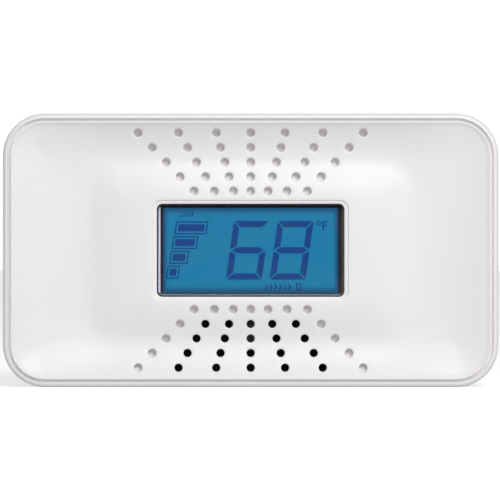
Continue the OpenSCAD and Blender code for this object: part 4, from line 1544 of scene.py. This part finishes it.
@dataclass
class RearHousing:
    """The rear shell with vents, wall keyholes, screw wells, feet and its openings."""

    shop: Workshop
    corner: float = 10.5 * MM
    inset: float = 0.5 * MM
    front: float = 12.4 * MM
    wall: float = 2.0 * MM
    floor: float = 2.2 * MM
    round_back: float = 3.0 * MM
    tongue: tuple[float, float] = (2.35 * MM, 3.75 * MM)
    tongue_front: float = 9.4 * MM
    tower: float = 4.4 * MM
    bore: float = 1.45 * MM
    well: float = 3.0 * MM
    seat: float = 15.0 * MM
    keyhole: tuple[float, float] = (35.0 * MM, 5.75 * MM)
    drop: float = 6.5 * MM
    entry: float = 4.2 * MM
    neck: float = 2.1 * MM
    pocket: float = 4.6 * MM
    pocket_wall: float = 0.9 * MM
    pocket_depth: float = 3.0 * MM
    vents: int = 5
    vent: tuple[float, float] = (15.0 * MM, 0.8 * MM)
    vent_pitch: float = 3.8 * MM
    vent_first: float = 17.4 * MM
    flare: float = 0.4 * MM
    label: tuple[float, float, float] = (23.0 * MM, 10.0 * MM, -9.0 * MM)
    label_depth: float = 0.2 * MM
    slot: tuple[float, float, float] = (4.75 * MM, 2.05 * MM, 2.0 * MM)
    rail: tuple[float, float, float] = (11.0 * MM, 0.6 * MM, 4.85 * MM)
    rail_depth: float = 2.0 * MM
    plate_gap: float = 1.3 * MM
    opening: tuple[float, float] = (16.5 * MM, 5.5 * MM)
    opening_flare: float = 0.35 * MM
    foot: tuple[float, float, float] = (7.0 * MM, 2.0 * MM, 31.0 * MM)
    gap: float = 0.25 * MM
    counts: Counts = (60, 30, 12)

    def __post_init__(self) -> None:
        """Works out the outline and the depths that the methods share."""
        self.case = face_rect("front_cover", self.corner)
        self.back = depth_span("rear_housing")[1]
        self.inner = self.back - self.floor

    def shell(self) -> bpy.types.Object:
        """The cup with its tongue and rounded back edge."""
        near, far = self.tongue
        round_in, edge, lip = self.round_back, 0.3 * MM, 0.15 * MM
        tip = self.tongue_front
        profile = [(self.inset + edge, self.front), (self.inset + 0.1 * MM, self.front + 0.1 * MM),
                   (self.inset, self.front + edge)]
        for k in range(9):
            t = math.pi / 2 * k / 8
            profile.append((self.inset + round_in * (1 - math.cos(t)),
                            self.back - round_in * (1 - math.sin(t))))
        skin = Skin()
        outer = skin.loft([(self.case.inset(i).points(*self.counts), d) for i, d in profile])
        skin.cap(outer[-1])
        bend = 1.2 * MM
        wall = self.inset + self.wall
        profile = [(self.inset + edge, self.front), (near, self.front), (near, tip + lip),
                   (near + lip, tip), (far - lip, tip), (far, tip + lip),
                   (far, self.front + 2 * MM), (wall, self.front + 2 * MM),
                   (wall, self.inner - bend)]
        for k in range(1, 5):
            t = math.pi / 2 * k / 4
            profile.append((wall + bend * (1 - math.cos(t)), self.inner - bend * (1 - math.sin(t))))
        inner = skin.loft([(self.case.inset(i).points(*self.counts), d) for i, d in profile])
        skin.cap(inner[-1])
        return link("rear_shell", skin.mesh("rear_shell"))

    def corners(self) -> list[tuple[float, float]]:
        """Middles of the four case screws."""
        low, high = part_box("case_screws")
        head = 2.6 * MM
        x, y = (high.x - low.x) / 2 - head, (high.z - low.z) / 2 - head
        return [(sx * x, sy * y) for sx in (1, -1) for sy in (1, -1)]

    def track(self, radius: float, side: int) -> RoundRect:
        """The upright stadium of one keyhole, on the right for 1 or the left for -1."""
        x, y = self.keyhole
        return RoundRect(radius, radius + self.drop / 2, radius, side * x, y + self.drop / 2)

    def slider_place(self) -> tuple[float, float]:
        """Middle of the slider's way across the back."""
        low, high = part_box("power_slider")
        return ((low.x + high.x) / 2 - FACE.origin.x + self.slot[2],
                (low.z + high.z) / 2 - FACE.origin.z)

    def additions(self) -> list[bpy.types.Object]:
        """Screw towers, keyhole pockets, slider rails and feet."""
        reach = self.inner + 0.5 * MM
        towers = cylinders("towers", [(x, y, self.tower) for x, y in self.corners()],
                           self.front, reach)
        deep = self.inner - self.pocket_depth - self.pocket_wall
        walls = slabs("pockets", [(self.track(self.pocket + self.pocket_wall, s), deep, reach)
                                  for s in (1, -1)], counts=(2, 8, 12))
        x, y = self.slider_place()
        half_w, half_t, off = self.rail
        plate = self.inner - self.plate_gap - self.rail_depth
        rails = slabs("rails", [(RoundRect(half_w, half_t, 0.2 * MM, x, y + s * off), plate, reach)
                                for s in (1, -1)])
        low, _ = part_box("rear_housing")
        half_w, half_l, off = self.foot
        depth = self.back - self.round_back - 5 * MM
        bottom = low.z - FACE.origin.z
        feet = slabs("feet", [(RoundRect(half_w, 0.75 * MM, 0.2 * MM, s * off,
                                         bottom + 0.75 * MM), depth - half_l, depth + half_l)
                              for s in (1, -1)], edge=0.18 * MM)
        return [towers, walls, rails, feet]

    def vent_cuts(self, side: int) -> bpy.types.Object:
        """The flared slots through one end wall."""
        low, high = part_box("rear_housing")
        half, thin = self.vent
        x = high.x if side > 0 else low.x
        seat = Seat.on_side(x, FACE.origin.y + self.vent_first, FACE.origin.z, -side)
        slot = RoundRect(thin, half, thin)
        skin = flared(slot, (2, 20, 8), self.flare, -0.5 * MM, self.wall + 0.6 * MM)
        return repeated(f"vents_{'right' if side > 0 else 'left'}", skin.mesh("vent", seat),
                        self.shop.material("housing_white"), self.vents,
                        (0.0, self.vent_pitch, 0.0))

    def button_cut(self) -> bpy.types.Object:
        """The flared opening in the top that the test button stands in."""
        low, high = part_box("test_button")
        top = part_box("rear_housing")[1].z
        half_w, half_h = (half + self.gap for half in self.opening)
        seat = Seat.on_top((low.x + high.x) / 2, (low.y + high.y) / 2, top)
        skin = flared(RoundRect(half_w, half_h, half_h), (24, 2, 14), self.opening_flare,
                      -1 * MM, self.wall + 1 * MM)
        return link("button_cut", skin.mesh("button_cut", seat))

    def cuts(self) -> list[bpy.types.Object]:
        """Everything that is opened in the shell."""
        past = self.back + 1 * MM
        bores = cylinders("bores", [(x, y, self.bore) for x, y in self.corners()],
                          self.front - 1 * MM, self.seat + 1 * MM)
        wells = cylinders("wells", [(x, y, self.well) for x, y in self.corners()],
                          self.seat, past)
        pockets = slabs("pocket_cuts", [(self.track(self.pocket, s),
                                         self.inner - self.pocket_depth, self.inner)
                                        for s in (1, -1)], counts=(2, 8, 12))
        necks = slabs("necks", [(self.track(self.neck, s), self.inner - 1 * MM, past)
                                for s in (1, -1)], counts=(2, 8, 12))
        x, y = self.keyhole
        entries = cylinders("entries", [(s * x, y, self.entry) for s in (1, -1)],
                            self.inner - 1 * MM, past)
        half_w, half_h, middle = self.label
        label = slabs("label_cut", [(RoundRect(half_w, half_h, 0.3 * MM, 0.0, middle),
                                     self.back - self.label_depth, past)])
        x, y = self.slider_place()
        slot = slabs("slot_cut", [(RoundRect(self.slot[0], self.slot[1], 0.7 * MM, x, y),
                                   self.inner - 1 * MM, past)])
        return [bores, wells, pockets, necks, entries, label, slot, self.button_cut(),
                self.vent_cuts(1), self.vent_cuts(-1)]

    def build(self) -> None:
        """Makes the rear shell in place of its CAD node."""
        made = shaped(self.shell(), self.additions(), Cut.JOIN)
        made = shaped(made, self.cuts(), Cut.CARVE)
        smooth(made.data, 35)
        self.shop.fit(made, "housing_white", "case", "rear_housing")


@dataclass
class TestButton:
    """The long test button on top, with a finger hollow, a hidden flange and a stem."""

    shop: Workshop
    half: tuple[float, float] = (16.5 * MM, 5.5 * MM)
    flange: float = 1.4 * MM
    flange_from: float = 2.4 * MM
    flange_t: float = 1.2 * MM
    edge: float = 0.7 * MM
    hollow: float = 0.4 * MM
    crown: float = 4.4 * MM
    stem: tuple[float, float] = (2.5 * MM, 2.0 * MM)
    counts: Counts = (40, 2, 16)

    def build(self) -> None:
        """Makes the button in place of its CAD node."""
        low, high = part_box("test_button")
        seat = Seat.on_top((low.x + high.x) / 2, (low.y + high.y) / 2, high.z)
        shape = RoundRect(self.half[0], self.half[1], self.half[1])
        rings = []
        for k in range(9):
            reach = self.crown - (self.crown - self.edge) * k / 8
            sink = self.hollow * math.cos(math.pi / 2 * k / 8) ** 2
            rings.append((shape.inset(reach), sink))
        rings += [(shape.inset(self.edge * (1 - math.sin(t))), self.edge * (1 - math.cos(t)))
                  for t in (math.pi / 2 * k / 6 for k in range(1, 7))]
        bottom = self.flange_from + self.flange_t
        soft = 0.15 * MM
        rings += [(shape, self.flange_from), (shape.inset(soft - self.flange), self.flange_from),
                  (shape.inset(-self.flange), self.flange_from + soft),
                  (shape.inset(-self.flange), bottom - soft),
                  (shape.inset(soft - self.flange), bottom)]
        skin = Skin()
        skin.solid([(ring.points(*self.counts), depth) for ring, depth in rings])
        body = link("button_cap", skin.mesh("button_cap", seat))
        plunger_low, plunger_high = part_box("test_plunger")
        y = (plunger_low.y + plunger_high.y) / 2 - seat.origin.y
        stem = slabs("button_stem", [(RoundRect(*self.stem, 0.3 * MM, 0.0, y),
                                      bottom - 0.6 * MM, high.z - low.z)],
                     counts=(6, 4, 3), seat=seat)
        made = shaped(body, [stem], Cut.JOIN)
        smooth(made.data, 32)
        self.shop.fit(made, "button_white", "button", "test_button")


@dataclass
class PowerSlider:
    """The ribbed slide knob on the back, with the flange and fork behind it."""

    shop: Workshop
    knob: tuple[float, float, float] = (2.5 * MM, 1.8 * MM, 0.5 * MM)
    flange: tuple[float, float, float] = (9.0 * MM, 4.0 * MM, 0.6 * MM)
    flange_t: float = 1.2 * MM
    knob_rise: float = 3.2 * MM
    fork: tuple[float, float] = (2.6 * MM, 1.5 * MM)
    prong_gap: float = 0.8 * MM
    prong_l: float = 2.0 * MM
    ribs: int = 4
    rib_pitch: float = 1.05 * MM

    def build(self) -> None:
        """Makes the slider in place of its CAD node."""
        low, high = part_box("power_slider")
        x = (low.x + high.x) / 2 - FACE.origin.x
        y = (low.z + high.z) / 2 - FACE.origin.z
        front, back = depth_span("power_slider")
        plate = back - self.knob_rise
        flange = slabs("slider_body", [(RoundRect(*self.flange, x, y), plate,
                                        plate + self.flange_t)], edge=0.2 * MM)
        knob = slabs("knob", [(RoundRect(*self.knob, x, y), plate + 0.4 * MM, back)],
                     edge=0.35 * MM)
        fork = slabs("fork", [(RoundRect(*self.fork, 0.2 * MM, x, y), front,
                               plate + 0.5 * MM)])
        made = shaped(flange, [knob, fork], Cut.JOIN)
        slit = slabs("slit", [(RoundRect(self.prong_gap, 3 * MM, 0.05 * MM, x, y),
                               front - 1 * MM, front + self.prong_l)])
        seed = Skin()
        start = x - self.rib_pitch * (self.ribs - 1) / 2
        seed.solid([(RoundRect(0.2 * MM, 1.35 * MM, 0.15 * MM, start, y).points(2, 8, 4), d)
                    for d in (back - 0.35 * MM, back + 0.5 * MM)])
        ribs = repeated("ribs", seed.mesh("rib"), self.shop.material("slider_red"), self.ribs,
                        (self.rib_pitch, 0.0, 0.0))
        made = shaped(made, [slit, ribs], Cut.CARVE)
        smooth(made.data, 32)
        self.shop.fit(made, "slider_red", "slider", "power_slider")


@dataclass
class Fasteners:
    """The case screws and board screws: ridged shafts, domed heads and cross recesses."""

    shop: Workshop
    thread: float = 0.45 * MM
    ridge: float = 0.22 * MM

    def screw(self, name: str, node: str, shaft: float, head: float, head_t: float,
              recess: float, rows: int) -> None:
        """Makes one kind of screw and repeats it where its node has it.

        Args:
            name: Name of the piece.
            node: The CAD node that it replaces.
            shaft: Radius of the shaft.
            head: Radius of the head.
            head_t: Thickness of the head.
            recess: Half the width of the cross.
            rows: How many screws stand above one another.
        """
        low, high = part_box(node)
        tip, end = depth_span(node)
        x = (low.x - FACE.origin.x) + head
        y = (low.z - FACE.origin.z) + head
        under = end - head_t
        rings: list[tuple[float, float]] = [(shaft * 0.35, tip), (shaft * 0.8, tip + 0.6 * MM)]
        turns = int((under - tip - 1.2 * MM) / self.thread)
        for k in range(turns):
            at = tip + 0.7 * MM + k * self.thread
            rings += [(shaft - self.ridge, at), (shaft, at + self.thread * 0.45)]
        rings += [(shaft, under), (head - 0.1 * MM, under), (head, under + 0.12 * MM)]
        dome = head_t * 0.45
        rings += [(head - (head * 0.4) * (1 - math.cos(t)), end - dome + dome * math.sin(t))
                  for t in (math.pi / 2 * k / 6 for k in range(7))]
        skin = Skin()
        skin.solid([(RoundRect.circle(r, x, y).points(0, 0, 8), d) for r, d in rings])
        one = link(name, skin.mesh(name))
        deep = end - head_t * 0.55
        for turn, (w, h) in enumerate(((recess, 0.24 * MM), (0.24 * MM, recess))):
            arm = slabs(f"arm_{turn}", [(RoundRect(w, h, 0.05 * MM, x, y), deep, end + 1 * MM)])
            one = shaped(one, [arm], Cut.CARVE)
        mesh = one.data.copy()
        bpy.data.objects.remove(one)
        made = repeated(name, mesh, self.shop.material("screw_steel"), 2,
                        (high.x - low.x - 2 * head, 0.0, 0.0), rows,
                        (0.0, 0.0, high.z - low.z - 2 * head))
        smooth(made.data, 32)
        self.shop.fit(made, "screw_steel", "case", node)

    def build(self) -> None:
        """Makes both kinds."""
        self.screw("case_screw_set", "case_screws", 1.2 * MM, 2.6 * MM, 1.8 * MM, 1.5 * MM, 2)
        self.screw("board_screw_set", "board_screws", 0.9 * MM, 1.9 * MM, 1.4 * MM, 1.1 * MM, 1)


@dataclass
class AirScreen:
    """The black cloth behind the open holes and the grey one in the sounder's nozzle."""

    shop: Workshop
    half: tuple[float, float, float] = (20.5 * MM, 6.9 * MM, 2.0 * MM)
    middle: float = -24.3 * MM
    gap: float = 0.1 * MM
    thick: float = 0.2 * MM
    nozzle: tuple[float, float] = (5.5 * MM, -20.3 * MM)
    open: float = 5.2 * MM

    def build(self) -> None:
        """Makes both cloths between the display tower and the nozzle."""
        front = depth_span("sounder_chamber")[0] - self.gap - self.thick
        half_w, half_h, corner = self.half
        sheet = slabs("air_cloth", [(RoundRect(half_w, half_h, corner, 0.0, self.middle),
                                     front, front + self.thick)], counts=(30, 10, 6))
        radius, y = self.nozzle
        hole = cylinders("cloth_cut", [(0.0, y, self.open)], front - 1 * MM, front + 1 * MM, 16)
        made = shaped(sheet, [hole], Cut.CARVE)
        self.shop.fit(made, "filter_black", "case")
        disc = cylinders("nozzle_cloth", [(0.0, y, radius)], front + 3 * self.gap,
                         front + 3 * self.gap + self.thick, 16)
        self.shop.fit(disc, "cloth_grey", "case")


@dataclass
class Innards:
    """The finishes of the board, what it carries, the sounder, the sensor and the cells."""

    shop: Workshop
    finishes: dict[str, str] = field(default_factory=lambda: {
        "main_board": "board_green", "microcontroller": "chip_black",
        "sounder_driver": "chip_black", "quartz_crystal": "nickel", "chip_parts": "chip_body",
        "capacitors": "capacitor_sleeve", "coil_core": "ferrite", "coil_winding": "copper",
        "thermistor": "epoxy_bead", "sounder_chamber": "sounder_grey",
        "sounder_ring": "sounder_grey", "sounder_disc": "brass", "sounder_ceramic": "ceramic",
        "sounder_contacts": "spring_brass", "sensor_can": "nickel",
        "sensor_base": "sensor_plastic", "sensor_filter": "filter_black",
        "battery_cells": "cell_jacket", "battery_tabs": "nickel",
        "battery_cradle": "cradle_plastic", "test_switch": "switch_grey",
        "test_plunger": "chip_black", "power_switch": "switch_grey",
        "power_lever": "cradle_plastic", "rating_label": "label_silver"})

    def build(self) -> None:
        """Gives every inner node its finish."""
        for node, finish in self.finishes.items():
            self.shop.dress(node, finish)


@dataclass
class Studio:
    """A pale floor, soft lights, and a camera square to the front."""

    lens: float = 300.0
    shift: tuple[float, float] = (-0.15 * MM, 0.08 * MM)
    sensor: float = 36.0
    view_w: float = 125.0 * MM
    floor_half: float = 6.0
    key: float = 5.95
    key_turn: float = 17.0
    key_rise: float = 30.0
    key_far: float = 1.0
    sky: float = 0.4
    bounce: float = 0.45
    floor_glow: float = 0.23

    def build_floor(self) -> None:
        """A wide, flat, plain floor."""
        floor = bpy.data.meshes.new("floor")
        half = self.floor_half
        corners = [(-half, -half, 0), (half, -half, 0), (half, half, 0), (-half, half, 0)]
        floor.from_pydata(corners, [], [(0, 1, 2, 3)])
        obj = link("floor", floor)
        paint = bpy.data.materials.new("floor_white")
        paint.use_nodes = True
        tree = paint.node_tree
        tree.nodes.clear()
        place = wire(tree, "ShaderNodeTexCoord").outputs["Object"]
        cloud = wire(tree, "ShaderNodeTexNoise", {"Vector": place, "Scale": 3.0})
        tone = wire(tree, "ShaderNodeMix", {0: cloud.outputs["Fac"], 6: rgba((0.93,) * 3),
                                            7: rgba((0.95,) * 3)}, data_type="RGBA")
        seen = wire(tree, "ShaderNodeBsdfPrincipled", {
            "Base Color": tone.outputs[2], "Roughness": 0.8, "Emission Color": rgba((1, 1, 1)),
            "Emission Strength": 0.45})
        bounced = wire(tree, "ShaderNodeBsdfPrincipled", {
            "Base Color": rgba((self.bounce,) * 3), "Roughness": 1.0, "Specular IOR Level": 0.0,
            "Emission Color": rgba((1, 1, 1)), "Emission Strength": self.floor_glow})
        path = wire(tree, "ShaderNodeLightPath").outputs["Is Camera Ray"]
        both = wire(tree, "ShaderNodeMixShader", {0: path, 1: bounced.outputs[0],
                                                  2: seen.outputs[0]})
        wire(tree, "ShaderNodeOutputMaterial", {"Surface": both.outputs[0]})
        floor.materials.append(paint)
        obj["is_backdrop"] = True

    def build_world(self) -> None:
        """White behind the object, and softer light from all round."""
        world = bpy.data.worlds.new("studio")
        world.use_nodes = True
        bpy.context.scene.world = world
        tree = world.node_tree
        tree.nodes.clear()
        seen = wire(tree, "ShaderNodeLightPath").outputs["Is Camera Ray"]
        level = wire(tree, "ShaderNodeMapRange", {"Value": seen, "To Min": self.sky,
                                                  "To Max": 1.05})
        back = wire(tree, "ShaderNodeBackground", {"Color": rgba((1.0, 1.0, 1.0)),
                                                   "Strength": level.outputs[0]})
        wire(tree, "ShaderNodeOutputWorld", {"Surface": back.outputs[0]})

    def add_lamp(self, name: str, spot: Vector, aim: Vector, size: float, power: float) -> None:
        """Adds one square soft light.

        Args:
            name: Its name.
            spot: Where it stands.
            aim: What it points at.
            size: Length of its side.
            power: Its power in watts.
        """
        lamp = bpy.data.lights.new(name, "AREA")
        lamp.size = size
        lamp.energy = power
        obj = bpy.data.objects.new(name, lamp)
        obj.location = spot
        obj.rotation_euler = (aim - spot).to_track_quat("-Z", "Y").to_euler()
        bpy.context.scene.collection.objects.link(obj)

    def build(self, low: Vector, high: Vector) -> None:
        """Sets the studio up round the object's box.

        Args:
            low: Lowest corner of the object.
            high: Highest corner of the object.
        """
        middle = (low + high) / 2
        self.build_floor()
        self.build_world()
        turn, rise = math.radians(self.key_turn), math.radians(self.key_rise)
        way = Vector((math.sin(turn) * math.cos(rise), -math.cos(turn) * math.cos(rise),
                      math.sin(rise)))
        self.add_lamp("key", middle + way * self.key_far, middle, 0.5, self.key)
        camera = bpy.data.cameras.new("camera")
        camera.lens = self.lens
        camera.sensor_width = self.sensor
        camera.dof.use_dof = False
        obj = bpy.data.objects.new("camera", camera)
        back = self.view_w / 2 / (self.sensor / 2 / self.lens)
        obj.location = Vector((middle.x + self.shift[0], low.y - back,
                               middle.z + self.shift[1]))
        obj.rotation_euler = (math.radians(90), 0.0, 0.0)
        camera.clip_start = back * 0.02
        camera.clip_end = self.floor_half * 3
        bpy.context.scene.collection.objects.link(obj)
        bpy.context.scene.camera = obj
        bpy.context.scene.view_settings.view_transform = "Standard"


def all_finishes() -> dict[str, Finish]:
    """Every finish by its name."""
    low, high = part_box("lcd_glass")
    middle = tuple((low + high) / 2)
    made = [
        Finish("case_white", (0.862, 0.848, 0.84)),
        Finish("housing_white", (0.82, 0.815, 0.8), roughness=0.5, relief=0.012 * MM),
        Clear("clear_lens", (0.97, 0.985, 1.0), specular=0.35),
        Finish("black_frame", (0.012, 0.012, 0.014), roughness=0.5),
        Finish("surround_gloss", (0.008, 0.008, 0.01), roughness=0.22, slot="black_frame"),
        # painted light for the display opening's edges: lilac painted highlight, blue-grey painted
        # reflection, brown painted shade
        Finish("painted_highlight_lilac", (0.6, 0.6, 0.82), roughness=0.3, slot="black_frame"),
        Finish("painted_reflection_blue_grey", (0.115, 0.17, 0.22), roughness=0.25, slot="black_frame"),
        Finish("painted_shade_brown", (0.1, 0.076, 0.06), roughness=0.4, slot="black_frame"),
        Backlit("lcd_blue", (0.003, 0.01, 0.02), middle=middle, half=(0.0219, 0.01065)),
        Backlit("lcd_ink", (0.001, 0.003, 0.01), glow=(0.0, 0.043, 0.207),
                rim=(0.0, 0.028, 0.12), middle=middle, half=(0.0219, 0.01065),
                slot="lcd_blue"),
        Finish("film", (0.88, 0.9, 0.92), roughness=0.6),
        Clear("guide_clear", (0.85, 0.93, 0.98), bend=1.49),
        Metal("foil", (0.93, 0.93, 0.93), roughness=0.12),
        Finish("led", (0.85, 0.75, 0.3), roughness=0.3),
        Banded("contact_rubber", (0.04, 0.04, 0.045), other=(0.35, 0.35, 0.36), roughness=0.6),
        SolderMask("board_green", (0.012, 0.12, 0.05), roughness=0.25),
        Finish("chip_black", (0.015, 0.015, 0.017), roughness=0.55),
        Metal("nickel", (0.62, 0.61, 0.58)),
        Finish("chip_body", (0.35, 0.24, 0.13), roughness=0.45),
        Finish("capacitor_sleeve", (0.02, 0.035, 0.09), roughness=0.25),
        Finish("ferrite", (0.045, 0.042, 0.04), roughness=0.7, relief=0.02 * MM),
        Banded("copper", (0.75, 0.27, 0.09), other=(0.4, 0.12, 0.04), metallic=1.0,
               roughness=0.25, axis="Y", pitch=0.5 * MM),
        Finish("epoxy_bead", (0.03, 0.018, 0.01), roughness=0.2),
        Finish("sounder_grey", (0.05, 0.052, 0.056), roughness=0.5),
        Banded("cloth_grey", (0.3, 0.3, 0.31), other=(0.42, 0.42, 0.43), axis="X",
               pitch=0.3 * MM, roughness=0.9, slot="sounder_grey"),
        Metal("brass", (0.78, 0.55, 0.2)),
        Finish("ceramic", (0.78, 0.76, 0.7), roughness=0.35),
        Metal("spring_brass", (0.74, 0.6, 0.32)),
        Finish("sensor_plastic", (0.62, 0.58, 0.5)),
        Banded("filter_black", (0.015, 0.015, 0.016), other=(0.05, 0.05, 0.05), axis="X",
               pitch=0.35 * MM, roughness=0.9),
        Finish("cell_jacket", (0.09, 0.16, 0.12), roughness=0.3),
        Finish("cradle_plastic", (0.66, 0.64, 0.6)),
        Finish("button_white", (0.84, 0.835, 0.82), relief=0.008 * MM),
        Finish("switch_grey", (0.045, 0.048, 0.052), roughness=0.5),
        Finish("slider_red", (0.52, 0.035, 0.02), roughness=0.4),
        Metal("screw_steel", (0.5, 0.5, 0.49), roughness=0.36),
        Finish("label_silver", (0.6, 0.61, 0.62), roughness=0.34, metallic=0.6),
    ]
    return {one.name: one for one in made}


def main() -> None:
    """Builds the detector, one sub-assembly after another, and the studio round it."""
    logging.basicConfig(level=logging.INFO, format="%(name)s: %(message)s", force=True)
    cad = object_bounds()
    shop = Workshop(Effects(), all_finishes())
    FrontCover(shop).build()
    Display(shop).build()
    RearHousing(shop).build()
    TestButton(shop).build()
    PowerSlider(shop).build()
    Fasteners(shop).build()
    AirScreen(shop).build()
    Innards(shop).build()
    Studio().build(*cad)


if __name__ == "__main__":
    main()
